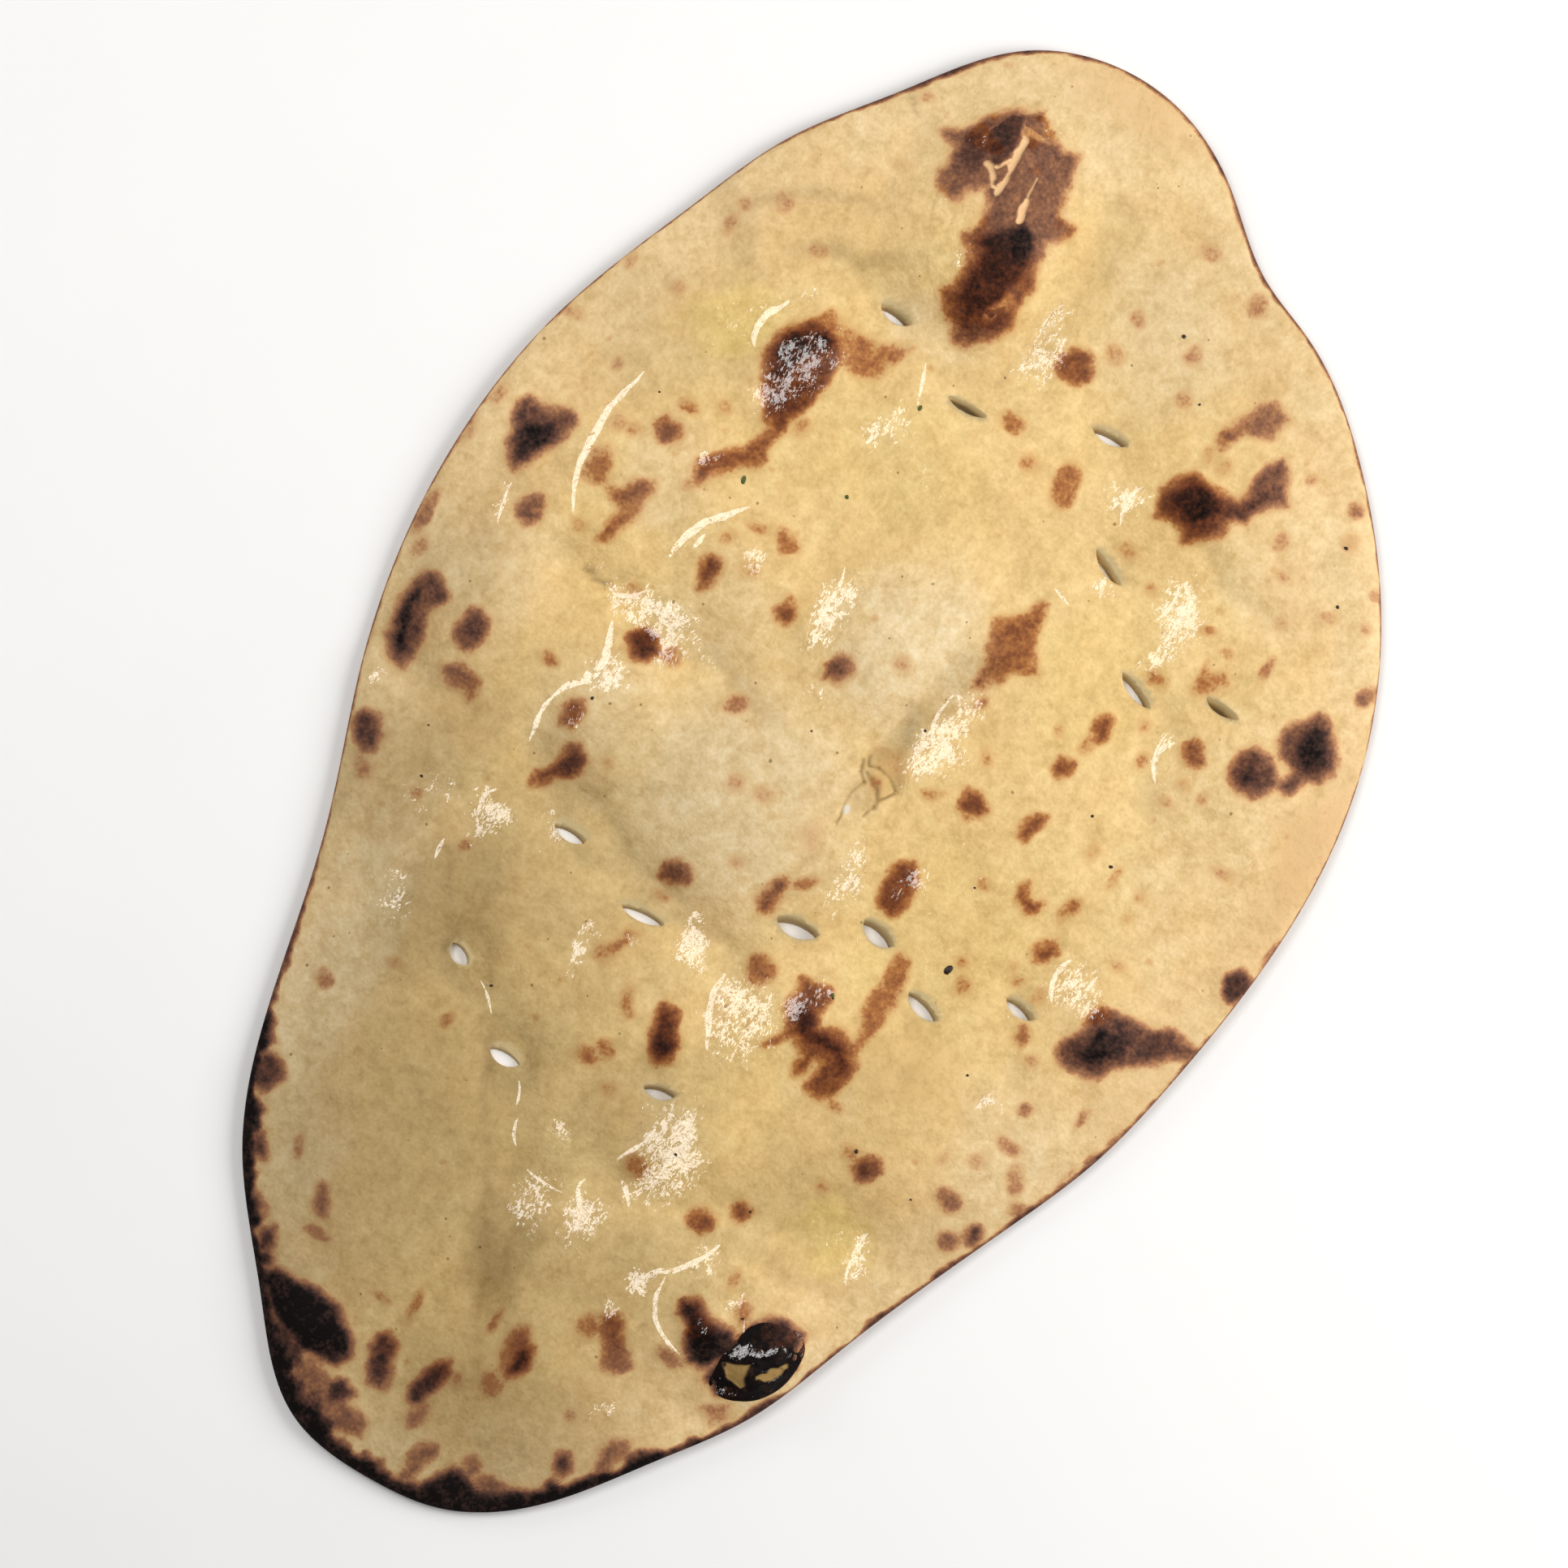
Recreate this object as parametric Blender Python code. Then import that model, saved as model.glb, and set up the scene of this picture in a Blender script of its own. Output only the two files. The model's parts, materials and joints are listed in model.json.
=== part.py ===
"""A butter tandoori roti: one long, thin, hand-stretched flatbread, as it lies flat after baking.

The bread is a single solid. Its outline is a smooth loop through hand-chosen points. Its upper face is
the dough's thickness with the puffs, blisters, creases and dimples of baking on it, its underside is
flat with a rim that lifts a little, and the docking slits are cut right through it.
X is across the bread, Y is along it towards the wide rounded end with the burst blister, Z is up. The
origin is under the middle of the bread, on the surface that it lies on.
"""

import math

import bmesh
import bpy
import numpy as np

MM = 0.001

# Driving sizes of the bread, in millimetres
LENGTH = 280.0
WIDTH = 169.4
DOUGH = 3.4  # thickness of the flat dough between its puffs
RIM_EDGE = 1.3  # thickness right at the rim
RIM_ROUND = 7.0  # how far in from the rim the dough reaches its whole thickness
RIM_LIFT = 0.5  # how far the rim stands off the surface all round
RIM_CURL = 1.1  # how much more it lifts where the rim curls
CURLS = 5  # curls round the rim, the strongest at the right-hand side
CURL_SHIFT = 46.0  # where the first curl starts, in degrees
UNDERCUT = 9.0  # how far in from the rim the underside lies flat
LEAST_DOUGH = 1.5  # the thinnest that a crease leaves the dough

# Squares of the upper face across and along the bread, and how much they close up towards the rim
SQUARES_ACROSS = 52
SQUARES_ALONG = 78
CLOSE_UP = 1.15

# The outline, clockwise from the wide end, as millimetres across and along
OUTLINE = [
    (-10, 139.9),
    (10, 132),
    (24, 120.6),
    (36, 115.2),
    (55.2, 100.4),
    (70, 81.8),
    (82.3, 53),
    (84.7, 22),
    (80.4, -10),
    (76, -28),
    (69, -44.7),
    (53.5, -79.5),
    (45.6, -97.8),
    (35, -112.5),
    (20, -130.4),
    (7, -138.2),
    (-6, -140),
    (-24, -137),
    (-40, -120.8),
    (-55, -101),
    (-64, -75),
    (-70.5, -45),
    (-80, -15),
    (-84.6, 25),
    (-80, 54.5),
    (-69, 82.5),
    (-60.4, 100.6),
    (-48, 116.8),
    (-32, 134.4),
]

# Broad puffs: middle across and along, half width, half length, turn in degrees, height
PUFFS = [
    (-21, 104, 21, 27, 12, 4.6),
    (0, 36, 17, 24, -18, 3.4),
    (-9, -4, 25, 25, 0, 3.2),
    (-30, 33, 15, 16, 0, 2.4),
    (-52, 38, 18, 22, 15, 2.2),
    (-38, -3, 13, 17, -10, 2.6),
    (-39, 67, 12, 14, -10, 1.8),
    (-68, 4, 15, 17, 10, 2.0),
    (37, 83, 22, 19, 15, 2.0),
    (64, 48, 18, 24, 0, 1.6),
    (22, 44, 13, 20, -10, 1.5),
    (38, 20, 17, 22, 5, 1.5),
    (64, -8, 16, 20, 15, 1.4),
    (22, -33, 18, 14, 10, 1.6),
    (48, -40, 17, 20, 20, 1.6),
    (37, -84, 18, 19, -25, 2.4),
    (-8, 66, 19, 14, 0, 1.5),
    (-52, -48, 17, 24, 8, 1.5),
    (8, -62, 18, 12, 12, 1.7),
    (-30, -104, 22, 22, 20, 1.6),
    (10, -112, 16, 18, -10, 1.4),
]

# Small blisters of charred skin: middle across and along, half width, half length, turn, height
BLISTERS = [
    (42.5, -88, 7.2, 9.4, -25, 2.6),
    (31, -87.5, 6, 5, 0, 1.0),
    (-39, 69, 6.5, 9.5, -10, 1.1),
    (-25, 117, 7, 9, 10, 1.2),
    (-17, 97, 9, 13, 0, 1.0),
    (-30, -120, 10, 6, -12, 1.0),
    (72, 53, 6.5, 5.5, 0, 1.0),
    (33, 80, 7.5, 6, 0, 0.9),
    (23, -34, 7, 6, 0, 0.9),
    (-73, 31, 5, 7, 0, 0.9),
    (17.5, 43, 5.5, 8, 0, 0.8),
    (66, -10, 8, 4.5, 25, 0.8),
]

# Creases between the puffs: where each starts and ends, half width, depth
CREASES = [
    (-78, 60, -48, 84, 7, 1.3),
    (-57, 18, -22, 15, 4, 1.1),
    (8, 6, 12, 34, 4, 1.5),
    (-44, -14, -28, -23, 5, 1.4),
    (-26, -24, 4, -28, 4, 1.4),
    (-80, -10, -58, -15, 5, 1.2),
    (-46, -32, -37, -54, 5, 1.1),
    (-37, -54, -22, -64, 5, 1.2),
    (-21, -66, -12, -80, 5, 1.1),
    (-6, -84, -4, -102, 7, 1.3),
    (12, -70, 46, -60, 6, 1.2),
    (-4, 88, -3, 116, 5, 1.2),
    (-38, 86, -18, 84, 4, 1.2),
    (48, 46, 51, 30, 4, 0.9),
    (3, -33, 7, -46, 4, 0.9),
]

# Waves that hand stretching leaves in the dough: height, wavelength, direction and shift in degrees
WAVES = [
    (0.25, 74, 20, 35),
    (0.20, 58, 110, 80),
    (0.15, 47, -35, 0),
    (0.12, 38, 65, 200),
]

# Docking slits: middle across and along, length, width, turn in degrees
SLITS = [
    (-28.7, 83.6, 6.4, 2.5, -8),
    (-10, 74.9, 7.5, 1.9, 0),
    (14.3, 83.6, 7, 2, 2),
    (25.8, 63.6, 7.6, 1.7, -25),
    (40.7, 47.4, 7.8, 2.2, -22),
    (55, 51.6, 6.5, 1.9, -8),
    (-32.9, -23.2, 6.3, 2.4, 0),
    (-14.8, -29.7, 8.2, 2.2, 5),
    (-38.8, -51.8, 4.6, 2.8, -25),
    (-23.3, -63, 6, 2.5, 0),
    (22.8, -12.1, 6.8, 3.2, -12),
    (9.8, -18.4, 8, 3.2, 8),
    (36, -19.3, 7, 2.7, -15),
    (51, -11, 6, 2.2, -12),
    (3.2, -55.4, 6, 2.5, 12),
]
SLIT_SIDES = 12
SLIT_STRAIGHT_SIDE = 0.35  # share of a slit's width above its line: the rest gapes below it
SLIT_POINT = 0.4  # how much a slit narrows to a point at its ends: nothing would leave an oval
SLIT_REACH = 30.0  # height of a cutter, more than the bread's own
SLIT_DIMPLE = 1.1  # depth to which the cut holds the dough down
SLIT_DIMPLE_REACH = 7.5  # how far from the slit the dimple fades


def remove_everything():
    """Clear the scene of whatever it starts with."""
    for thing in list(bpy.data.objects):
        bpy.data.objects.remove(thing, do_unlink=True)


def new_collection(name):
    """A collection of its own in the scene."""
    collection = bpy.data.collections.new(name)
    bpy.context.scene.collection.children.link(collection)
    return collection


def crust_material(name, colour, roughness):
    """A plain crust of one colour."""
    material = bpy.data.materials.new(name)
    material.use_nodes = True
    shader = material.node_tree.nodes["Principled BSDF"]
    shader.inputs["Base Color"].default_value = (*colour, 1.0)
    shader.inputs["Roughness"].default_value = roughness
    shader.inputs["Metallic"].default_value = 0.0
    return material


def smooth_loop(points, samples):
    """A closed cubic spline through the points, evenly sampled in each stretch.

    The knots are the lengths of the chords. The slope at each knot follows from asking that the
    curvature is the same on both sides of it, which is one set of linear equations.
    """
    knots = np.array(points, float)
    chord = np.linalg.norm(np.roll(knots, -1, axis=0) - knots, axis=1)
    before = np.roll(chord, 1)
    rise = (np.roll(knots, -1, axis=0) - knots) / chord[:, None]
    count = len(knots)
    place = np.arange(count)
    system = np.zeros((count, count))
    system[place, place] = 2 * (before + chord)
    system[place, place - 1] = chord
    system[place, (place + 1) % count] = before
    known = 3 * (chord[:, None] * np.roll(rise, 1, axis=0) + before[:, None] * rise)
    slope = np.linalg.solve(system, known)
    t = (np.arange(samples) / samples)[None, :, None]
    here, there = knots[:, None], np.roll(knots, -1, axis=0)[:, None]
    reach = chord[:, None, None]
    curve = (
        (2 * t**3 - 3 * t**2 + 1) * here
        + (t**3 - 2 * t**2 + t) * reach * slope[:, None]
        + (3 * t**2 - 2 * t**3) * there
        + (t**3 - t**2) * reach * np.roll(slope, -1, axis=0)[:, None]
    )
    return curve.reshape(-1, 2)


def outline_reach():
    """The outline as a table of directions from the middle and how far the bread reaches in each.

    The loop is first fitted to the bread's length and width, with its box centred on the origin.
    """
    loop = smooth_loop(OUTLINE, 40)
    low, high = loop.min(axis=0), loop.max(axis=0)
    loop = (loop - (low + high) / 2) * np.array([WIDTH, LENGTH]) / (high - low)
    turn = np.arctan2(loop[:, 1], loop[:, 0])
    order = np.argsort(turn)
    return turn[order], np.hypot(loop[:, 0], loop[:, 1])[order]


def plan_point(across, along, table):
    """Where a square's corner falls in plan, and how far it is from the rim, in millimetres.

    across and along run from -1 to 1. The square they span is first rounded to a disc, x times the
    root of 1 minus half y squared and the same for y, and the disc is then stretched to the outline.
    """
    u = math.sin(CLOSE_UP * across) / math.sin(CLOSE_UP)
    v = math.sin(CLOSE_UP * along) / math.sin(CLOSE_UP)
    disc_x = u * math.sqrt(1 - v * v / 2)
    disc_y = v * math.sqrt(1 - u * u / 2)
    share = math.hypot(disc_x, disc_y)
    turn = math.atan2(disc_y * LENGTH, disc_x * WIDTH)
    reach = float(np.interp(turn, *table, period=2 * math.pi))
    step = 0.01
    ahead = float(np.interp(turn + step, *table, period=2 * math.pi))
    slant = (ahead - reach) / step
    inset = max(0.0, 1 - share) * reach * reach / math.hypot(reach, slant)
    return share * reach * math.cos(turn), share * reach * math.sin(turn), inset, turn


def bump(x, y, spot):
    """A rounded swelling on a turned oval, which ends at the oval's edge.

    Its height is one minus the squared distance from the middle, in half widths, to the power of 1.5.
    """
    middle_x, middle_y, half_width, half_length, turn, height = spot
    cosine, sine = math.cos(math.radians(turn)), math.sin(math.radians(turn))
    across = ((x - middle_x) * cosine + (y - middle_y) * sine) / half_width
    along = ((y - middle_y) * cosine - (x - middle_x) * sine) / half_length
    return height * max(0.0, 1 - across * across - along * along) ** 1.5


def groove(x, y, crease):
    """A soft furrow along a straight line, fading with the squared distance from it."""
    start_x, start_y, end_x, end_y, half_width, depth = crease
    run_x, run_y = end_x - start_x, end_y - start_y
    share = ((x - start_x) * run_x + (y - start_y) * run_y) / (run_x**2 + run_y**2)
    share = min(1.0, max(0.0, share))
    gap = math.hypot(x - start_x - share * run_x, y - start_y - share * run_y)
    return depth * math.exp(-((gap / half_width) ** 2))


def waves(x, y):
    """The slow unevenness of dough that was stretched by hand."""
    rise = 0.0
    for height, wavelength, direction, shift in WAVES:
        along = x * math.cos(math.radians(direction)) + y * math.sin(math.radians(direction))
        rise += height * math.sin(2 * math.pi * along / wavelength + math.radians(shift))
    return rise


def top_height(x, y, inset):
    """Height of the upper face over the underside's plane."""
    dough = DOUGH + waves(x, y)
    dough += sum(bump(x, y, puff) for puff in PUFFS)
    dough += sum(bump(x, y, blister) for blister in BLISTERS)
    dough -= sum(groove(x, y, crease) for crease in CREASES)
    for slit_x, slit_y, *_ in SLITS:
        gap = math.hypot(x - slit_x, y - slit_y) / SLIT_DIMPLE_REACH
        dough -= SLIT_DIMPLE * math.exp(-gap * gap)
    dough = max(LEAST_DOUGH, dough)
    inward = min(1.0, inset / RIM_ROUND)
    rounded = math.sqrt(1 - (1 - inward) ** 2)
    return RIM_EDGE + (dough - RIM_EDGE) * rounded


def rim_lift(turn):
    """How far the rim stands off the surface in one direction from the middle."""
    curl = 0.5 + 0.5 * math.sin(CURLS * turn + math.radians(CURL_SHIFT))
    return RIM_LIFT + RIM_CURL * curl * math.cos(turn / 2) ** 2


def slab(name, table):
    """The bread before its slits are cut, as one closed mesh.

    A grid makes the upper face. Its boundary is extruded twice, once down the rim's thickness and
    once in to where the underside is flat, and one face closes the flat underside.
    """
    mesh = bpy.data.meshes.new(name)
    dough = bmesh.new()
    bmesh.ops.create_grid(dough, x_segments=SQUARES_ACROSS, y_segments=SQUARES_ALONG, size=1.0)
    rim = [edge for edge in dough.edges if edge.is_boundary]
    for corner in dough.verts:
        x, y, inset, turn = plan_point(corner.co.x, corner.co.y, table)
        lift = rim_lift(turn) * max(0.0, 1 - inset / UNDERCUT) ** 2
        corner.co = (x * MM, y * MM, (top_height(x, y, inset) + lift) * MM)
    wall = bmesh.ops.extrude_edge_only(dough, edges=rim)["geom"]
    lower_rim = [part for part in wall if isinstance(part, bmesh.types.BMVert)]
    for corner in lower_rim:
        lift = rim_lift(math.atan2(corner.co.y, corner.co.x))
        corner.co.z = lift * MM
    lower_edges = [part for part in wall if isinstance(part, bmesh.types.BMEdge) and part.is_boundary]
    skirt = bmesh.ops.extrude_edge_only(dough, edges=lower_edges)["geom"]
    flat_rim = [part for part in skirt if isinstance(part, bmesh.types.BMVert)]
    for corner in flat_rim:
        reach = math.hypot(corner.co.x, corner.co.y)
        shrink = (reach - UNDERCUT * MM) / reach
        corner.co = (corner.co.x * shrink, corner.co.y * shrink, 0.0)
    flat_edges = [part for part in skirt if isinstance(part, bmesh.types.BMEdge) and part.is_boundary]
    bmesh.ops.contextual_create(dough, geom=flat_edges)
    bmesh.ops.recalc_face_normals(dough, faces=dough.faces)
    dough.to_mesh(mesh)
    dough.free()
    return bpy.data.objects.new(name, mesh)


def slit_cutter(number, slit):
    """An upright prism in the plan of one slit: pointed at its ends, straighter above than below."""
    middle_x, middle_y, length, width, turn = slit
    name = f"slit_cutter_{number}"
    mesh = bpy.data.meshes.new(name)
    prism = bmesh.new()
    bmesh.ops.create_cone(
        prism,
        cap_ends=True,
        segments=SLIT_SIDES,
        radius1=1.0,
        radius2=1.0,
        depth=SLIT_REACH * MM,
    )
    for corner in prism.verts:
        side = SLIT_STRAIGHT_SIDE if corner.co.y > 0 else 1 - SLIT_STRAIGHT_SIDE
        corner.co.x *= length / 2 * MM
        corner.co.y *= abs(corner.co.y) ** SLIT_POINT * width * side * MM
    prism.to_mesh(mesh)
    prism.free()
    cutter = bpy.data.objects.new(name, mesh)
    cutter.location = (middle_x * MM, middle_y * MM, 0.0)
    cutter.rotation_euler = (0.0, 0.0, math.radians(turn))
    cutter.hide_render = True
    cutter.display_type = "WIRE"
    return cutter


def make_roti():
    """The whole bread: the slab, with every docking slit cut through it."""
    remove_everything()
    bread = new_collection("butter_tandoori_roti")
    cutters = new_collection("slit_cutters")
    for number, slit in enumerate(SLITS, start=1):
        cutters.objects.link(slit_cutter(number, slit))
    roti = slab("roti", outline_reach())
    bread.objects.link(roti)
    roti.data.materials.append(crust_material("baked_dough", (0.72, 0.53, 0.28), 0.5))
    docking = roti.modifiers.new("docking_slits", "BOOLEAN")
    docking.operation = "DIFFERENCE"
    docking.operand_type = "COLLECTION"
    docking.collection = cutters
    docking.solver = "EXACT"
    roti.data.shade_smooth()
    return roti


make_roti()
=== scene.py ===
# %% [markdown]
# # A butter tandoori roti
# This bread is one thin, hand-stretched sheet of dough, baked on the wall of a clay oven and brushed with
# butter. The solid model gives its true outline, thickness, puffs and slits. This script dresses that
# solid: it makes the crust again as a fine mesh in the same place, and adds what is too small for a
# solid, such as scorch marks, a film of butter, torn skin and herb flecks.

# %% Load the frame
import json
import math

import bpy
import numpy as np
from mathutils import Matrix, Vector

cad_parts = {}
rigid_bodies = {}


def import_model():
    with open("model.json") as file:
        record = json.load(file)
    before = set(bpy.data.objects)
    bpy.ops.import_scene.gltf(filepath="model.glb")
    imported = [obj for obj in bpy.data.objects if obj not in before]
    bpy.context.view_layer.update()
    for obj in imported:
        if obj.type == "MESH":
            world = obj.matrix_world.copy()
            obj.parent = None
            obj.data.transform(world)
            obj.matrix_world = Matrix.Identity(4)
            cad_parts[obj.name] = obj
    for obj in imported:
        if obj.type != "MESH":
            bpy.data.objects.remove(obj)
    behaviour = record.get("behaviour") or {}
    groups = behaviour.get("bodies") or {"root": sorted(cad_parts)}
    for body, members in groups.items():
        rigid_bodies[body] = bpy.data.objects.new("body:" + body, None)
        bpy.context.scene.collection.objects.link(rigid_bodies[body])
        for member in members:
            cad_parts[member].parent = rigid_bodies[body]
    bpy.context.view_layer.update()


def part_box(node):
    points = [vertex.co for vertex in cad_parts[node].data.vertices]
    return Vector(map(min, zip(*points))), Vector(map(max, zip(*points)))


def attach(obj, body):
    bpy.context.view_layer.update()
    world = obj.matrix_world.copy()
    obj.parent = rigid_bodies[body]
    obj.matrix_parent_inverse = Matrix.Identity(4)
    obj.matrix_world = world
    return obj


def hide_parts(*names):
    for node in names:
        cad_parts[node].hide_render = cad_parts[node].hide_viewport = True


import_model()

MM = 0.001
bread_low, bread_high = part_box("roti")
LENGTH = (bread_high[1] - bread_low[1]) / MM
WIDTH = (bread_high[0] - bread_low[0]) / MM
print(f"the bread measures {LENGTH:.1f} by {WIDTH:.1f} mm")

# %% [markdown]
# ## The outline
# A roti is never a true oval. Its edge could be traced point by point, but a closed cubic spline through
# some thirty places, given where the edge changes its bend, gives the same line with far fewer
# numbers. In each direction from the middle it then says how far the bread reaches.

# %% The outline as a smooth loop
OUTLINE = [
    (-10, 139.9), (10, 132), (24, 120.6), (36, 115.2), (55.2, 100.4), (70, 81.8), (82.3, 53), (84.7, 22),
    (80.4, -10), (76, -28), (69, -44.7), (53.5, -79.5), (45.6, -97.8), (35, -112.5), (20, -130.4),
    (7, -138.2), (-6, -140), (-24, -137), (-40, -120.8), (-55, -101), (-64, -75), (-70.5, -45),
    (-80, -15), (-84.6, 25), (-80, 54.5), (-69, 82.5), (-60.4, 100.6), (-48, 116.8), (-32, 134.4),
]


def smooth_loop(points, samples):
    """A closed cubic spline through the points.

    Each stretch blends its two ends and their slopes by cubic weights. The slopes follow from asking
    that the bend is the same on both sides of every point, which is one set of linear equations.
    """
    knots = np.array(points, float)
    chord = np.linalg.norm(np.roll(knots, -1, axis=0) - knots, axis=1)
    before = np.roll(chord, 1)
    rise = (np.roll(knots, -1, axis=0) - knots) / chord[:, None]
    place = np.arange(len(knots))
    system = np.zeros((len(knots), len(knots)))
    system[place, place] = 2 * (before + chord)
    system[place, place - 1] = chord
    system[place, (place + 1) % len(knots)] = before
    known = 3 * (chord[:, None] * np.roll(rise, 1, axis=0) + before[:, None] * rise)
    slope = np.linalg.solve(system, known)
    t = (np.arange(samples) / samples)[None, :, None]
    here, there = knots[:, None], np.roll(knots, -1, axis=0)[:, None]
    curve = (
        (2 * t**3 - 3 * t**2 + 1) * here
        + (t**3 - 2 * t**2 + t) * chord[:, None, None] * slope[:, None]
        + (3 * t**2 - 2 * t**3) * there
        + (t**3 - t**2) * chord[:, None, None] * np.roll(slope, -1, axis=0)[:, None]
    )
    return curve.reshape(-1, 2)


def reach_table(loop):
    """Direction and reach of each point of a loop round the origin, in order of direction."""
    turn = np.arctan2(loop[:, 1], loop[:, 0])
    order = np.argsort(turn)
    return turn[order], np.hypot(loop[:, 0], loop[:, 1])[order]


loop = smooth_loop(OUTLINE, 40)
loop_low, loop_high = loop.min(axis=0), loop.max(axis=0)
loop = (loop - (loop_low + loop_high) / 2) * np.array([WIDTH, LENGTH]) / (loop_high - loop_low)
loop_turn, loop_reach = reach_table(loop)
print(f"the outline reaches {loop_reach.min():.1f} to {loop_reach.max():.1f} mm from the middle")

# %% [markdown]
# ## Laying a grid over the bread
# A square grid is the easiest mesh to work out with whole arrays, and it has no poles. It is rounded to
# a disc, and the disc is stretched until its edge is the outline. A sine closes up the squares towards
# the rim, where the dough bends most.

# %% From the square grid to the bread's plan
CLOSE_UP = 0.8


def reach_at(turn):
    """How far the bread reaches in each direction, read from the outline."""
    return np.interp(turn, loop_turn, loop_reach, period=2 * math.pi)


def rim_distance(x, y):
    """How far a place is in from the rim: the gap along its ray, less what the rim's slant takes off."""
    turn = np.arctan2(y, x)
    reach = reach_at(turn)
    slant = (reach_at(turn + 0.01) - reach_at(turn - 0.01)) / 0.02
    return (reach - np.hypot(x, y)) * reach / np.hypot(reach, slant)


def plan_points(across, along, margin):
    """Places on the bread for grid places from -1 to 1, with the grid's edge a margin in from the rim.

    The square is rounded with x times the root of 1 minus half y squared, and the same for y.
    """
    u = np.sin(CLOSE_UP * across) / math.sin(CLOSE_UP)
    v = np.sin(CLOSE_UP * along) / math.sin(CLOSE_UP)
    disc_x = u * np.sqrt(1 - v * v / 2)
    disc_y = v * np.sqrt(1 - u * u / 2)
    turn = np.arctan2(disc_y * LENGTH, disc_x * WIDTH)
    reach = np.hypot(disc_x, disc_y) * (reach_at(turn) - margin)
    return reach * np.cos(turn), reach * np.sin(turn)


# %% [markdown]
# ## The form of the dough
# The heights are the same as the solid's: flat dough, broad puffs where steam lifted the skin, small
# blisters, creases between them, and a dimple round every slit, because the slits hold the dough down.
# Each is one short formula over whole arrays, so a change to a puff is a change to one row.

# %% Puffs, blisters, creases and slits
DOUGH = 3.4
LEAST_DOUGH = 1.5
RIM_EDGE = 1.3
RIM_ROUND = 7.0
RIM_LIFT = 0.5
RIM_CURL = 1.1
CURLS = 5
CURL_SHIFT = 46.0
UNDERCUT = 9.0

# Middle across and along, half width, half length, turn in degrees, height
PUFFS = [
    (-21, 104, 21, 27, 12, 4.6), (0, 36, 17, 24, -18, 3.4), (-9, -4, 25, 25, 0, 3.2),
    (-30, 33, 15, 16, 0, 2.4), (-52, 38, 18, 22, 15, 2.2), (-38, -3, 13, 17, -10, 2.6),
    (-39, 67, 12, 14, -10, 1.8), (-68, 4, 15, 17, 10, 2.0), (37, 83, 22, 19, 15, 2.0),
    (64, 48, 18, 24, 0, 1.6), (22, 44, 13, 20, -10, 1.5), (38, 20, 17, 22, 5, 1.5),
    (64, -8, 16, 20, 15, 1.4), (22, -33, 18, 14, 10, 1.6), (48, -40, 17, 20, 20, 1.6),
    (37, -84, 18, 19, -25, 2.4), (-8, 66, 19, 14, 0, 1.5), (-52, -48, 17, 24, 8, 1.5),
    (8, -62, 18, 12, 12, 1.7), (-30, -104, 22, 22, 20, 1.6), (10, -112, 16, 18, -10, 1.4),
]
BLISTERS = [
    (42.5, -88, 7.2, 9.4, -25, 2.6), (31, -87.5, 6, 5, 0, 1.0), (-39, 69, 6.5, 9.5, -10, 1.1),
    (-25, 117, 7, 9, 10, 1.2), (-17, 97, 9, 13, 0, 1.0), (-30, -120, 10, 6, -12, 1.0),
    (72, 53, 6.5, 5.5, 0, 1.0), (33, 80, 7.5, 6, 0, 0.9), (23, -34, 7, 6, 0, 0.9),
    (-73, 31, 5, 7, 0, 0.9), (17.5, 43, 5.5, 8, 0, 0.8), (66, -10, 8, 4.5, 25, 0.8),
]
# Start across and along, end across and along, half width, depth
CREASES = [
    (-78, 60, -48, 84, 7, 1.3), (-57, 18, -22, 15, 4, 1.1), (8, 6, 12, 34, 4, 1.5),
    (-44, -14, -28, -23, 5, 1.4), (-26, -24, 4, -28, 4, 1.4), (-80, -10, -58, -15, 5, 1.2),
    (-46, -32, -37, -54, 5, 1.1), (-37, -54, -22, -64, 5, 1.2), (-21, -66, -12, -80, 5, 1.1),
    (-6, -84, -4, -102, 7, 1.3), (12, -70, 46, -60, 6, 1.2), (-4, 88, -3, 116, 5, 1.2),
    (-38, 86, -18, 84, 4, 1.2), (48, 46, 51, 30, 4, 0.9), (3, -33, 7, -46, 4, 0.9),
]
# Height, wavelength, direction and shift in degrees
WAVES = [(0.25, 74, 20, 35), (0.20, 58, 110, 80), (0.15, 47, -35, 0), (0.12, 38, 65, 200)]
# Middle across and along, length, width, turn in degrees
SLITS = [
    (-28.7, 83.6, 6.4, 2.5, -8), (-10, 74.9, 7.5, 1.9, 0), (14.3, 83.6, 7, 2, 2),
    (25.8, 63.6, 7.6, 1.7, -25), (40.7, 47.4, 7.8, 2.2, -22), (55, 51.6, 6.5, 1.9, -8),
    (-32.9, -23.2, 6.3, 2.4, 0), (-14.8, -29.7, 8.2, 2.2, 5), (-38.8, -51.8, 4.6, 2.8, -25),
    (-23.3, -63, 6, 2.5, 0), (22.8, -12.1, 6.8, 3.2, -12), (9.8, -18.4, 8, 3.2, 8),
    (36, -19.3, 7, 2.7, -15), (51, -11, 6, 2.2, -12), (3.2, -55.4, 6, 2.5, 12),
]
SLIT_DIMPLE = 1.1
SLIT_DIMPLE_REACH = 7.5


def turned(across, along, degrees):
    """Places turned anticlockwise round the origin, by the sine and cosine of the turn."""
    cosine, sine = math.cos(math.radians(degrees)), math.sin(math.radians(degrees))
    return across * cosine - along * sine, across * sine + along * cosine


def oval_distance(x, y, oval):
    """Distance from an oval's middle, counted in its own half sizes: 1 is on its edge."""
    middle_x, middle_y, half_width, half_length, turn = oval[:5]
    across, along = turned(x - middle_x, y - middle_y, -turn)
    return np.hypot(across / half_width, along / half_length)


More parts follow.
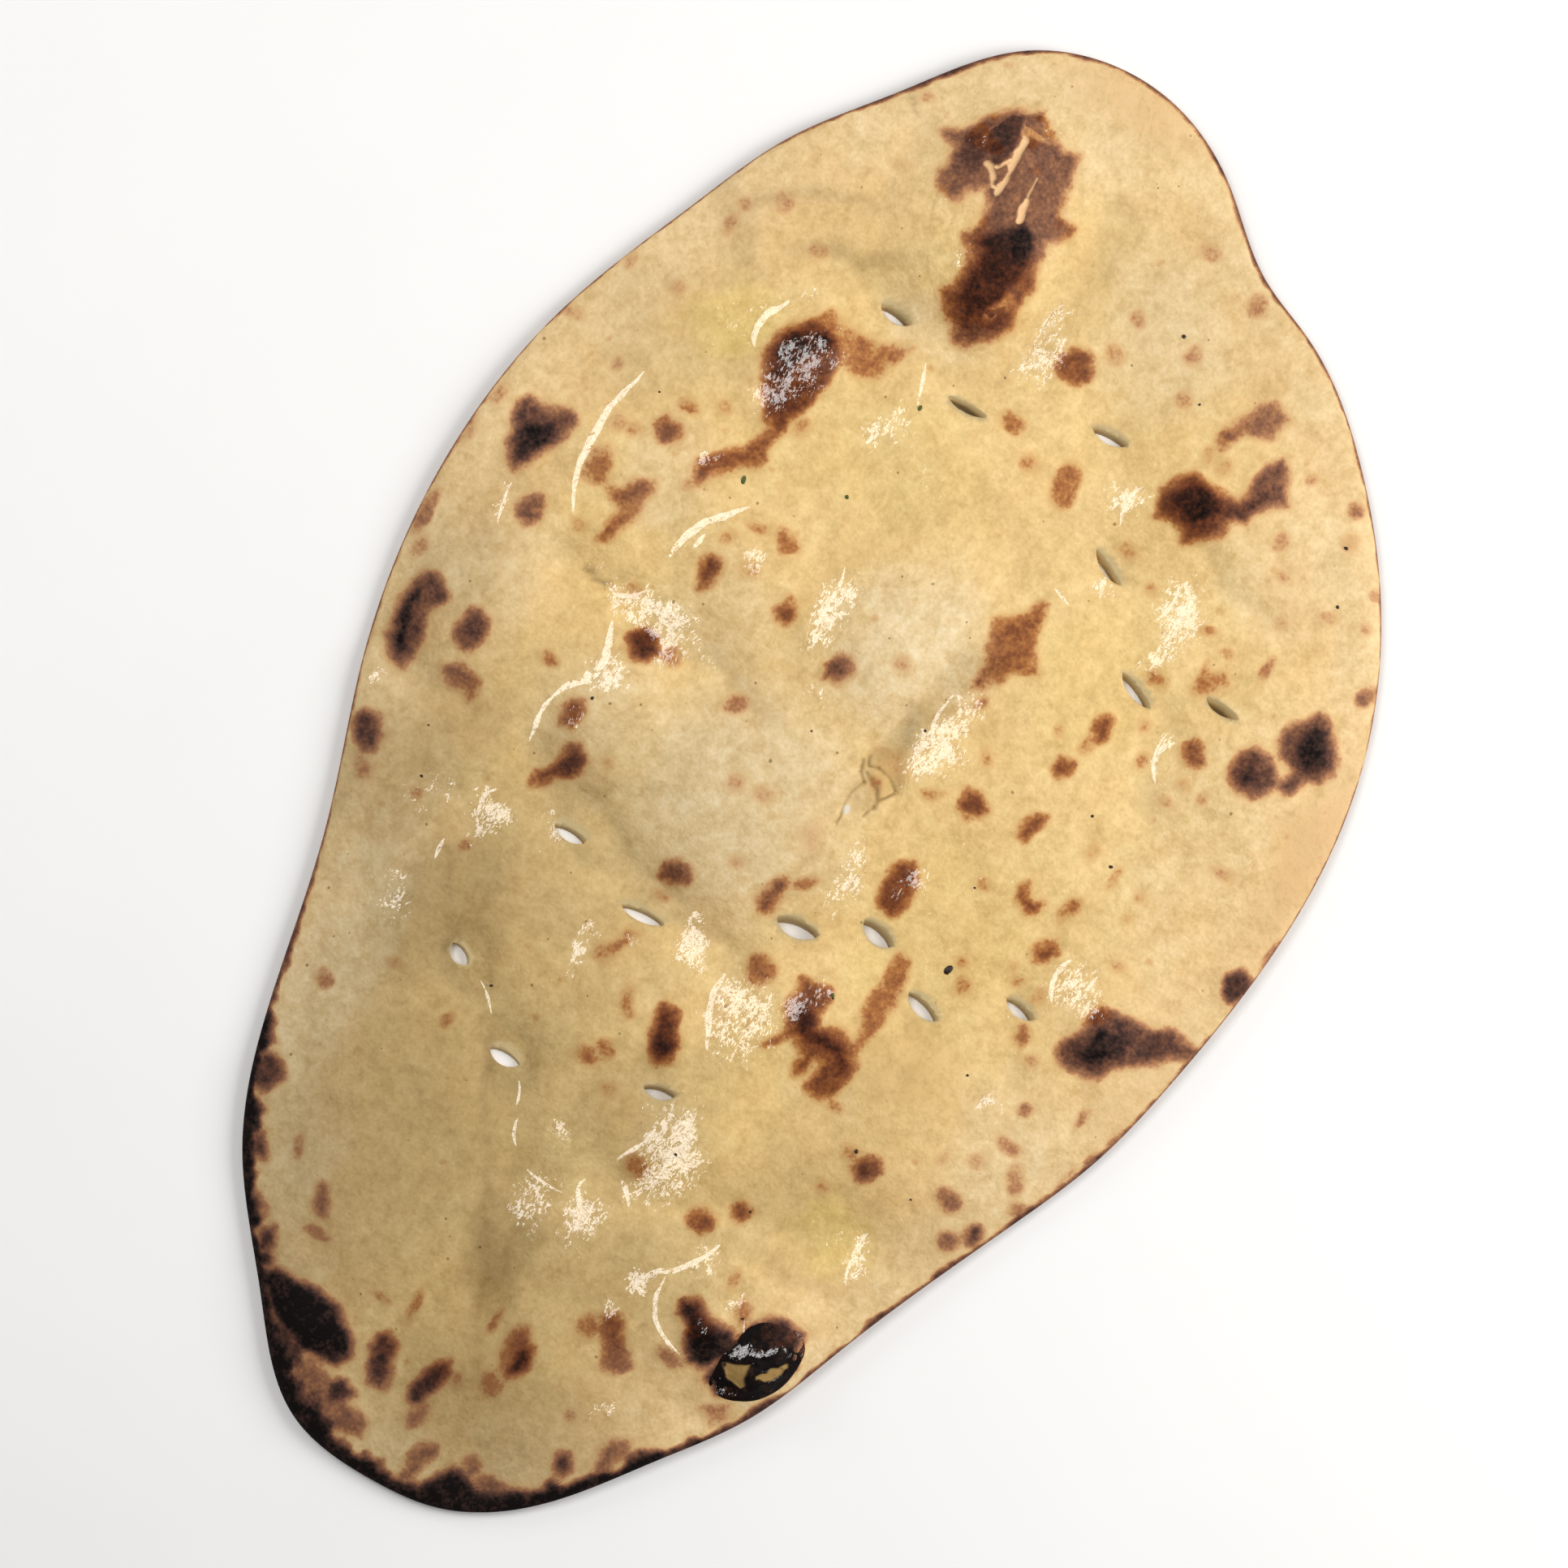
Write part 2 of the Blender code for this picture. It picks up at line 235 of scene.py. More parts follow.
def line_distance(x, y, start_x, start_y, end_x, end_y):
    """Distance from a straight line between two places."""
    run_x, run_y = end_x - start_x, end_y - start_y
    share = np.clip(((x - start_x) * run_x + (y - start_y) * run_y) / (run_x**2 + run_y**2), 0, 1)
    return np.hypot(x - start_x - share * run_x, y - start_y - share * run_y)


def dough_form(x, y):
    """The solid's own thickness: dough, waves, puffs and blisters, less creases and slit dimples."""
    dough = np.full(np.shape(x), DOUGH)
    for height, wavelength, direction, shift in WAVES:
        along, _ = turned(x, y, -direction)
        dough += height * np.sin(2 * math.pi * along / wavelength + math.radians(shift))
    for swelling in PUFFS + BLISTERS:
        dough += swelling[5] * np.maximum(0, 1 - oval_distance(x, y, swelling) ** 2) ** 1.5
    for *line, half_width, depth in CREASES:
        dough -= depth * np.exp(-((line_distance(x, y, *line) / half_width) ** 2))
    for slit_x, slit_y, *_ in SLITS:
        gap = np.hypot(x - slit_x, y - slit_y) / SLIT_DIMPLE_REACH
        dough -= SLIT_DIMPLE * np.exp(-gap * gap)
    return np.maximum(LEAST_DOUGH, dough)


def rim_lift(turn):
    """How far the rim stands off the table in each direction from the middle."""
    curl = 0.5 + 0.5 * np.sin(CURLS * turn + math.radians(CURL_SHIFT))
    return RIM_LIFT + RIM_CURL * curl * np.cos(turn / 2) ** 2


# %% [markdown]
# ## Seeded unevenness
# Real dough has lumps of every size. A table of seeded random numbers, read at the corners of squares
# and blended smoothly between them, gives the same lumps on every run and takes whole arrays.

# %% Smooth noise from a seeded table
TABLE_LENGTH = 4096
# How far on in the table the next column, the next row and the next seed are read
COLUMN_STEP, ROW_STEP, SEED_STEP = 127, 311, 977
noise_table = np.random.default_rng(41).uniform(-1, 1, TABLE_LENGTH)


def soften(share):
    """A share from 0 to 1 with a soft turn at both ends: three times its square less twice its cube."""
    return share * share * (3 - 2 * share)


def smooth_step(value, start, end):
    """0 at start, 1 at end, with a soft turn at both."""
    return soften(np.clip((value - start) / (end - start), 0, 1))


def soft_noise(x, y, size, seed):
    """Smooth noise from -1 to 1 with lumps of one size: four corner values blended by softened shares."""
    column, row = np.floor(x / size).astype(int), np.floor(y / size).astype(int)
    share_x, share_y = soften(x / size - column), soften(y / size - row)

    def corner(step_x, step_y):
        place = (column + step_x) * COLUMN_STEP + (row + step_y) * ROW_STEP + seed * SEED_STEP
        return noise_table[place % TABLE_LENGTH]

    low = corner(0, 0) * (1 - share_x) + corner(1, 0) * share_x
    high = corner(0, 1) * (1 - share_x) + corner(1, 1) * share_x
    return low * (1 - share_y) + high * share_y


def noise_layers(x, y, *layers):
    """Noises added up, each given by its height, the size of its lumps and its seed."""
    return sum(height * soft_noise(x, y, size, seed) for height, size, seed in layers)


print(f"noise table: {TABLE_LENGTH} numbers from {noise_table.min():.3f} to {noise_table.max():.3f}")


# %% [markdown]
# ## Where the bread scorched
# The thin skin of a bubble burns first, so every mark sits where a bubble touched the oven's heat. Large
# marks have a shape of their own and are outlined corner by corner, as they are on this bread.
# The small ones are ovals. Each has a depth: 0 is pale dough, 0.5 is brown and 1 is char.

# %% Large marks
# How deep each mark baked, and the corners round it
BURST_BLOTS = [
    (0.62, [
        (-24.5, 126), (-27, 124.3), (-30, 123), (-32.3, 120.5), (-34, 117), (-38, 114.3), (-34.5, 112.5),
        (-34.5, 110), (-35.3, 107), (-33, 105), (-30, 104.8), (-28.5, 107.5), (-26, 109), (-24, 107),
        (-24, 103), (-26, 100.4), (-23.5, 98), (-22.3, 96), (-22.5, 92.5), (-23.8, 90), (-22, 88),
        (-19.5, 86), (-17.5, 83.2), (-15.3, 83.7), (-13, 86), (-10.7, 88), (-9.8, 91), (-11, 94.5),
        (-10.3, 98), (-11, 102), (-12, 106), (-9.2, 109.3), (-9.6, 111), (-13.3, 111), (-13.2, 115),
        (-13.8, 117.5), (-15, 122.5), (-17.5, 121.5), (-20, 123), (-22.5, 124.5),
    ]),
    (0.72, [(-34, 117), (-30.5, 119.5), (-28.6, 114.5), (-27, 112), (-30, 109), (-33.5, 111.5)]),
    (0.84, [
        (-19.8, 106), (-17, 107.3), (-14, 105.8), (-12.3, 102), (-12.2, 98), (-13.5, 95), (-14.3, 92.5),
        (-15, 89), (-18.5, 87.5), (-20.8, 90), (-21.2, 95), (-21.5, 99), (-24.3, 100.4), (-22, 103),
    ]),
    (0.9, [(-19.3, 105.8), (-16.6, 107.2), (-14.2, 105.3), (-13.2, 102.3), (-15, 99.8), (-19, 101.2)]),
    (0.66, [
        (-21.5, 90), (-20, 87.5), (-17.5, 84.5), (-15, 85), (-12, 88), (-10.8, 90.5), (-12.5, 92.5),
        (-16, 90.5),
    ]),
]
UPPER_BLOTS = [
    (0.7, [
        (-45.2, 69.5), (-45.3, 65), (-43.6, 61.5), (-41.5, 58), (-39.3, 55.6), (-36.8, 54.4), (-35.2, 57),
        (-34, 61), (-33, 65), (-33, 69.8), (-35, 74), (-39.5, 74.8), (-42, 73.2), (-44, 72),
    ]),
    (0.82, [
        (-44.5, 69), (-44.3, 66), (-42.5, 62.5), (-40.8, 61), (-39, 66), (-36, 71), (-35.5, 74),
        (-39.5, 73.3), (-42.5, 72),
    ]),
    (0.44, [
        (-35, 70), (-30, 69.4), (-26.5, 70.8), (-25.6, 74), (-23.2, 77.5), (-22.6, 79.6), (-26, 78.4),
        (-29, 77), (-33.5, 76.8), (-36, 77), (-39.5, 78), (-40.2, 75.5), (-38, 72),
    ]),
    (0.6, [
        (-38, 55.5), (-38.7, 52.5), (-40, 49), (-43, 46.7), (-45.8, 43.6), (-45.4, 40.5), (-43.6, 39),
        (-41.6, 42.5), (-39.5, 45.5), (-37, 47), (-35.8, 49.5), (-36.6, 52.5), (-37, 55.2),
    ]),
    (0.56, [
        (33.4, 97.5), (34.2, 100.8), (36.5, 102.8), (40, 100.8), (39.2, 97.3), (36.8, 95.4), (34.5, 94.8),
        (32.8, 92), (31.8, 90), (30.3, 91), (30.2, 93.8), (31.8, 95.3),
    ]),
    (0.66, [
        (38.6, 83), (39.6, 86), (39.8, 89), (40.6, 92.3), (42.8, 94.5), (44.8, 92.5), (46, 90),
        (47.3, 87.5), (45.3, 86.3), (43.6, 85), (42.5, 82), (40, 81.6),
    ]),
    (0.8, [(39.8, 83), (41, 85.5), (42.5, 88), (43.5, 90.5), (44.3, 88.5), (43, 85), (41.8, 82.6)]),
    (0.72, [
        (26.8, 78.5), (28, 82.3), (30, 84.6), (34, 84.2), (37.5, 84), (41, 84.6), (42, 82), (39.8, 80.3),
        (38.6, 76.5), (36.5, 74.5), (34.5, 73), (33.2, 74.8), (30.5, 75.5), (28, 74.4),
    ]),
    (0.89, [
        (28.5, 79), (29.8, 82.8), (33, 83.6), (37, 82.8), (38.5, 81.3), (36.5, 78), (34.5, 76), (31, 76.8),
        (29, 77.3),
    ]),
]
LEFT_BLOTS = [
    (0.72, [
        (-78.6, 36.5), (-77, 38.8), (-74, 38.3), (-72, 38.3), (-70, 39.8), (-67.8, 38.3), (-68.5, 34.5),
        (-70, 31.5), (-71.3, 28), (-73, 26), (-75, 26.6), (-76.6, 29), (-76.6, 32), (-77.8, 34),
    ]),
    (0.94, [
        (-75.5, 34.5), (-72.5, 35.3), (-70.5, 36.5), (-70, 34), (-71.3, 30), (-73.2, 27.6), (-75, 29.5),
    ]),
    (0.64, [
        (-69.4, 20.5), (-68.4, 23.3), (-66.6, 24.6), (-65.3, 22.5), (-64.6, 20), (-66.8, 18.4),
        (-68.6, 18.9),
    ]),
    (0.46, [
        (-63.2, 33), (-63, 36), (-61.5, 38), (-59.5, 37.3), (-58.4, 35), (-57.5, 32), (-59.5, 30.3),
        (-62, 30.3),
    ]),
    (0.54, [
        (-58, 31.6), (-55, 32.6), (-53.5, 35.2), (-50.8, 36), (-49.6, 33.5), (-50.6, 29.5), (-51.8, 26.5),
        (-52.4, 23.3), (-54.2, 22.6), (-54.4, 25.5), (-53.6, 28.6), (-56, 29.8),
    ]),
    (0.64, [
        (-55.8, 45.2), (-54.5, 47.4), (-51.6, 47.2), (-50.4, 45.6), (-51.6, 43.6), (-53, 42.6), (-55, 43.6),
    ]),
    (0.72, [
        (-79.2, -3), (-78.6, 1), (-76.5, 3), (-73.8, 2.4), (-71.8, 0.5), (-73, -3), (-72.6, -7),
        (-71.6, -11), (-72.6, -13.8), (-75, -13.6), (-77.6, -11), (-79, -7),
    ]),
    (0.94, [
        (-78.5, -3.5), (-77.5, 0.3), (-75.8, -1), (-75.6, -5), (-74.6, -8.5), (-72.8, -12), (-74.5, -12.8),
        (-77, -10), (-78.4, -7),
    ]),
    (0.74, [
        (-68.3, -2.5), (-67.6, 0.3), (-65.6, 1.6), (-63, 0.3), (-62.4, -2.8), (-63.8, -5.5), (-66, -6),
        (-67.8, -4.8),
    ]),
    (0.56, [
        (-67, -10.3), (-65, -8.5), (-62, -8.3), (-59.6, -9), (-58.9, -11.5), (-60.2, -13.6), (-61.3, -12),
        (-64, -12.8), (-66, -12),
    ]),
    (0.78, [
        (-75.6, -26), (-74.6, -23.6), (-71.6, -23.6), (-70, -25.8), (-69.6, -28.6), (-71.6, -30.3),
        (-74, -29),
    ]),
    (0.45, [(-73, -30.2), (-71, -30.6), (-68, -31), (-67.8, -33.4), (-70, -34.6), (-72, -32.8)]),
]
MIDDLE_BLOTS = [
    (0.56, [
        (-28, 39.8), (-26, 40.3), (-23.5, 39.5), (-22.5, 38.6), (-24.5, 36.8), (-26.3, 38), (-27.6, 38.6),
    ]),
    (0.66, [
        (-36.6, 28.5), (-35.5, 30.2), (-33.2, 29.8), (-32.4, 28), (-33.5, 25.5), (-34.4, 23.5),
        (-35.2, 25.6),
    ]),
    (0.62, [(-21.8, 28), (-20.3, 30.5), (-18.6, 30), (-17.7, 28.2), (-18.8, 26), (-20.6, 25.8)]),
    (0.66, [(-8.5, 23.6), (-7.3, 26.3), (-5.6, 26.8), (-4.2, 24.4), (-5.4, 21.8), (-8.2, 21.2)]),
    (0.8, [
        (-41.3, 11), (-39.5, 13.2), (-36.8, 13), (-35.6, 10.8), (-36.3, 8.2), (-38.6, 7.9), (-40.5, 8.8),
    ]),
    (0.62, [(-45, -6), (-43.8, -3.6), (-42, -3), (-40.8, -5), (-41.5, -8.3), (-43.8, -9)]),
    (0.7, [
        (-41.5, -14), (-41, -11.3), (-39, -10), (-36.2, -11.8), (-36, -14.5), (-38, -16.6), (-40, -17.3),
        (-41.2, -19.6), (-43, -20), (-43.3, -18.3), (-41.7, -16.5),
    ]),
    (0.7, [(-16, -20.3), (-13.5, -19.3), (-11, -19.8), (-10.8, -21.8), (-13, -23.3), (-15.5, -23.2)]),
    (0.42, [
        (-15.5, -33.2), (-13.2, -33.6), (-14.3, -36.5), (-15.3, -39), (-16.3, -41.6), (-18.7, -41),
        (-18.6, -38.5), (-16.5, -37),
    ]),
    (0.42, [(-11.5, -42.5), (-9.8, -41.8), (-8.8, -44.4), (-6.6, -46), (-8, -47.3), (-10.6, -45.6)]),
    (0.82, [
        (-3.5, -42.5), (-1, -42), (0, -45), (2, -47), (2.4, -50), (0.5, -51.8), (-2, -50.5), (-3, -47),
    ]),
    (0.55, [
        (19.2, 52), (20.3, 49), (21, 45), (22, 42.5), (23.8, 40.5), (22, 39.5), (20, 38.5), (20, 36.3),
        (18, 35.5), (17, 33.5), (15, 32.3), (15.8, 35), (15.5, 38), (14, 40), (13.2, 43), (12.3, 44.8),
        (14.8, 46.3), (16.5, 48), (18, 51),
    ]),
    (0.66, [
        (18.5, -4), (19.3, -0.5), (21.5, 1.3), (24, -1), (24.7, -4.5), (24, -7.5), (23, -9), (20.3, -8.6),
        (19.2, -6),
    ]),
    (0.66, [(23, 14.5), (23.6, 16.7), (26, 17.6), (28.3, 15.6), (27.8, 14), (25.6, 12.7), (23.8, 13.3)]),
    (0.42, [(16.6, 12.7), (18, 14.3), (20.2, 14.6), (19.6, 12.6), (18.2, 11.6)]),
    (0.62, [(34.4, 16.8), (35.6, 19), (38, 20), (37.6, 17.6), (36.6, 14.4), (34.8, 14.6)]),
    (0.6, [(34, 27.8), (34.8, 30.6), (37.4, 30.4), (37.8, 28), (35.8, 26.2)]),
    (0.36, [(22.3, 25.4), (23.6, 24.8), (25.2, 23), (24.4, 21.6), (23, 22.6)]),
    (0.58, [
        (40.2, 6.5), (41, 8.3), (42.2, 6.6), (43.5, 5.8), (45.2, 6.6), (44.6, 4.4), (42.8, 3.4),
        (40.4, 4.8),
    ]),
    (0.5, [(48, 6.4), (48.8, 9.6), (50, 10.4), (50.6, 8), (49.4, 5)]),
    (0.6, [(47.5, -1.5), (48.6, 0.4), (50.6, 1.9), (51.3, 0), (50.7, -2.6), (49, -3.3)]),
    (0.64, [(1.4, -18.2), (2.2, -14), (3.6, -12.2), (4.9, -14), (4.5, -18.9), (2.8, -19.6)]),
]
RIGHT_BLOTS = [
    (0.72, [
        (66.3, 51), (66.6, 54.5), (68.8, 57), (70.3, 59.4), (72.4, 59.3), (74.5, 56.8), (76.8, 54.6),
        (77.6, 51.5), (76.2, 48.6), (73.5, 47.8), (73, 45.5), (72, 43.8), (70.3, 44.6), (70.5, 47.8),
        (67.8, 49),
    ]),
    (0.92, [
        (68.5, 52), (69.5, 55), (71.3, 57.5), (73.3, 56.5), (75.5, 54.3), (76.4, 51.5), (74.8, 49.6),
        (71.5, 49.5), (69.3, 50.3),
    ]),
    (0.72, [
        (61.3, 43), (61.8, 46.2), (64, 48.3), (66.4, 48), (67.8, 46.3), (70, 44.8), (69.3, 42.3),
        (67.2, 40), (64.3, 39.8), (62, 41),
    ]),
    (0.88, [(63, 43.5), (64.5, 46), (67, 45), (67.5, 43), (65.5, 41), (63.5, 41.3)]),
    (0.64, [(52.2, 42.6), (53.6, 44.3), (55.6, 43.7), (57, 41.3), (55.6, 39.9), (53.2, 40.3)]),
    (0.46, [
        (48.4, 54.4), (48.8, 57.6), (50.2, 55.6), (52.4, 57.2), (53.6, 55.8), (52.2, 53.4), (50.4, 51.4),
        (48.6, 52),
    ]),
    (0.74, [
        (60.2, -15), (60.2, -12), (62, -9), (62, -6), (63, -4.2), (66, -4.2), (70, -3.8), (73.5, -3),
        (75.5, -1.8), (77.5, -2), (80.5, -2.3), (80.8, -4.5), (78, -6), (76.5, -8.2), (74, -9), (72, -11),
        (70, -12.5), (68.5, -15), (67, -16.2), (64, -16.6), (61.5, -16.2),
    ]),
    (0.88, [
        (62.3, -13.5), (62.5, -10.5), (64, -7), (67, -6), (71.5, -6.3), (70.5, -9), (68.5, -11.5),
        (68, -14), (66, -15), (63.8, -15),
    ]),
    (0.66, [
        (15, -26), (17, -25.3), (20, -24.8), (21, -27), (20.3, -30), (22, -31.5), (25, -30.6), (28, -31.5),
        (29.3, -33.2), (30.8, -35), (30.8, -38), (30, -41), (28, -42.8), (25.5, -42.7), (24.9, -40.5),
        (25.6, -37.8), (24.5, -36.9), (24, -38), (23.8, -41), (22.3, -41.8), (21.6, -40), (21.8, -37.8),
        (20, -36.8), (18, -35.5), (17, -37), (15.5, -39.5), (14.8, -39.3), (16, -36.5), (17, -34.5),
        (15.2, -32.6), (14.7, -30),
    ]),
    (0.82, [
        (16.5, -30), (19.5, -30), (21, -32.2), (25, -32), (28, -33.5), (29.8, -35.5), (29.5, -39),
        (28, -38), (27.4, -35.4), (24, -35.8), (21, -36), (18.5, -35), (16.5, -33),
    ]),
    (0.48, [
        (27.6, -13.5), (30, -14.5), (31, -18), (31.4, -22), (31.3, -26), (30.4, -29), (30, -32.5),
        (28.4, -32.5), (27.8, -28.5), (26.6, -25.5), (26.8, -22), (27.6, -19.5), (26.8, -16.5),
    ]),
    (0.5, [(5, -27), (7, -25.8), (10, -26.5), (10.5, -29), (9, -31), (6.5, -31.2), (5, -29.5)]),
    (0.72, [(38.8, -50), (40, -47.6), (42.5, -46.7), (43.8, -48.6), (43, -50.6), (40.5, -51.8)]),
    (0.44, [(35.6, -47.4), (38.5, -47.8), (39.5, -50.5), (36.8, -49.2)]),
]
LOWER_BLOTS = [
    (1.0, [
        (-39.8, -116.3), (-36, -115.4), (-30, -116), (-26.3, -116.2), (-24, -118), (-21, -120.5),
        (-20.2, -122.6), (-21.3, -124.8), (-24, -125.7), (-29, -125.6), (-33, -124.8), (-36.5, -122.8),
        (-41, -119),
    ]),
    (0.58, [
        (-33, -126.5), (-27, -126.3), (-22, -127), (-16, -130), (-12, -131.5), (-12, -134), (-20, -136),
        (-27, -133),
    ]),
    (0.84, [
        (-18, -116.6), (-16.5, -115.6), (-14.2, -117), (-13.7, -120), (-12.3, -122.5), (-12.6, -125),
        (-15.3, -125), (-17.3, -122.3), (-18.2, -119.5),
    ]),
    (0.88, [(-21.2, -129), (-20.4, -127), (-18.4, -126.7), (-16.5, -128), (-17.4, -130.6), (-20, -131.6)]),
    (0.6, [(-40, -98.6), (-38.8, -98.3), (-37, -101), (-35.9, -104), (-37, -104.6), (-39, -103)]),
    (0.74, [(-55.3, -97.3), (-53.3, -96.2), (-51, -98.6), (-51, -101), (-53.6, -100.8)]),
    (0.92, [(-44.8, -110.8), (-43, -110.2), (-41.9, -112.4), (-42, -114.2), (-44, -114.6)]),
    (0.86, [
        (-5, -114.6), (-3.9, -116), (-4.2, -119), (-5.4, -123.4), (-7.6, -124.2), (-8.4, -122),
        (-7.8, -119), (-6.5, -116),
    ]),
    (0.6, [(-4.6, -122.5), (-3.7, -124.5), (-4.2, -127.3), (-5.3, -128.3), (-6.2, -125.5)]),
    (0.56, [
        (1.8, -106), (2.3, -103.6), (4.3, -102.8), (6.6, -104.8), (7.7, -108), (7, -111.6), (5, -113.2),
        (3, -111.2), (2, -108.5),
    ]),
    (0.92, [(4.4, -108), (5, -105), (6.8, -106), (7.5, -108.4), (6.6, -111.5), (4.8, -111.8)]),
    (0.5, [(1.4, -113.5), (3, -112.5), (5.1, -114), (5, -116.2), (3.2, -117), (1.9, -115.6)]),
    (0.66, [
        (-2.4, -132), (-1.6, -129.6), (0.3, -128.8), (0.7, -130.4), (-0.4, -132.8), (-0.8, -136.5),
        (-2.4, -137),
    ]),
    (1.0, [
        (-12, -142), (-10, -136.6), (-5, -138), (1, -136.9), (3.2, -133.2), (4.4, -130.9), (8, -131.2),
        (11, -132), (15, -129.6), (19, -127.8), (23, -125.6), (26, -122.6), (30, -118.6), (34, -122),
        (20, -136), (8, -143),
    ]),
    (0.58, [
        (24.8, -114.6), (27, -112.2), (30, -111), (30.5, -113.8), (28.6, -116), (29.6, -118), (28, -120.3),
        (26, -118.6), (26, -116),
    ]),
    (0.8, [(19.7, -119.5), (21.4, -118.4), (23.1, -120.4), (22.3, -122.9), (20.2, -122)]),
    (0.62, [
        (14.6, -94.6), (17, -92.8), (19.2, -95.5), (21, -97.3), (23, -99.6), (20.6, -102.2), (18.4, -102.4),
        (17.4, -99.2), (15, -97.6),
    ]),
    (0.46, [(37, -99.8), (39.4, -97.9), (41.5, -96.8), (42.6, -99.5), (40.6, -102.2)]),
    (0.95, [
        (25.3, -85.8), (27.5, -83.8), (30, -85.2), (34, -85.2), (37, -87), (36.5, -91), (34.8, -92),
        (33.4, -94.2), (31, -94), (29, -91.4), (28.4, -88.4), (25.6, -87.6),
    ]),
    (1.0, [(30, -86.6), (33.5, -86.6), (34.2, -89), (33.4, -92.7), (31.5, -93), (29.8, -90.4)]),
    (0.45, [(33.3, -82), (34, -79.4), (36.2, -80), (37.2, -83), (35.2, -84.2)]),
    (0.88, [(39, -81), (42, -79), (46, -80), (48, -85), (44.5, -93), (38, -96.5), (35, -95), (36.5, -85)]),
]
# Every large mark
BLOTS = BURST_BLOTS + UPPER_BLOTS + LEFT_BLOTS + MIDDLE_BLOTS + RIGHT_BLOTS + LOWER_BLOTS

# %% Small marks, from dark to faint
# Middle across and along, width, length and, where it leans, its turn
DARK_SPOTS = [
    (81.5, 10.5, 5, 6.5), (63.5, -50, 4, 3.4), (-57.8, -87, 6, 7.5), (75, -28.5, 1.6, 2.6),
    (76.8, -23, 1.4, 2.6),
]
BROWN_SPOTS = [
    (38.7, 38.2, 3.8, 6), (3, 90.5, 7, 7), (58.5, 93.5, 2.6, 2.4), (76, 66, 3, 3.4, -30),
    (68, -42.5, 2.6, 2.4), (56.5, -46.7, 4, 3.4), (60, -53, 4, 3.4), (26.2, -66.7, 3.6, 3.8),
    (21, -71.5, 5, 4.4), (-24.5, -129, 5, 3), (7.5, -129, 3, 3), (12, -130, 6, 3), (60, -27, 2.2, 2.2),
]
TOASTED_SPOTS = [
    (-1.5, 76.5, 5, 4), (12, 71.5, 5.4, 8.5, 15), (-33, 11.3, 4, 3.2), (65, -38, 3.5, 6, 20),
    (6, -69, 5, 4), (28, -95, 5, 2.6), (25, 115.5, 3, 4), (49, 82, 2, 3), (-52, 50.7, 3, 2.5),
    (-45.5, 38.5, 2, 2), (-31, 38, 3, 2), (-51.5, 0.5, 3, 2), (58.3, 61.3, 2, 4.4), (42.6, 50.3, 3, 2.4),
    (47.6, 37, 1.6, 2.5), (18.3, 31.3, 1.8, 2.6), (-13.5, -26, 2.4, 1.8), (-11, -56.5, 4, 3.4),
    (-8.5, -53.8, 3, 3), (-57.5, -68, 3, 3), (7, -11.5, 5.5, 2.6, 40), (40, -13.6, 2.4, 3.2),
    (53.3, -15.5, 2.6, 3.4), (31, -42.5, 3, 1.5), (69.7, -23, 1.6, 3.5), (61, -33.5, 5, 3),
    (-15, -109.5, 2, 6.5, 10), (-2, -117, 2, 3), (-1.5, -105, 2, 5), (13, -97.5, 3.5, 5),
    (-36, -107, 4, 2), (-82.8, 12, 3, 9), (83.8, 18, 2, 6), (39, 78.5, 2.4, 5),
    (-46.5, -95.8, 1.8, 4, 20), (-19, 9.7, 4.4, 4),
]
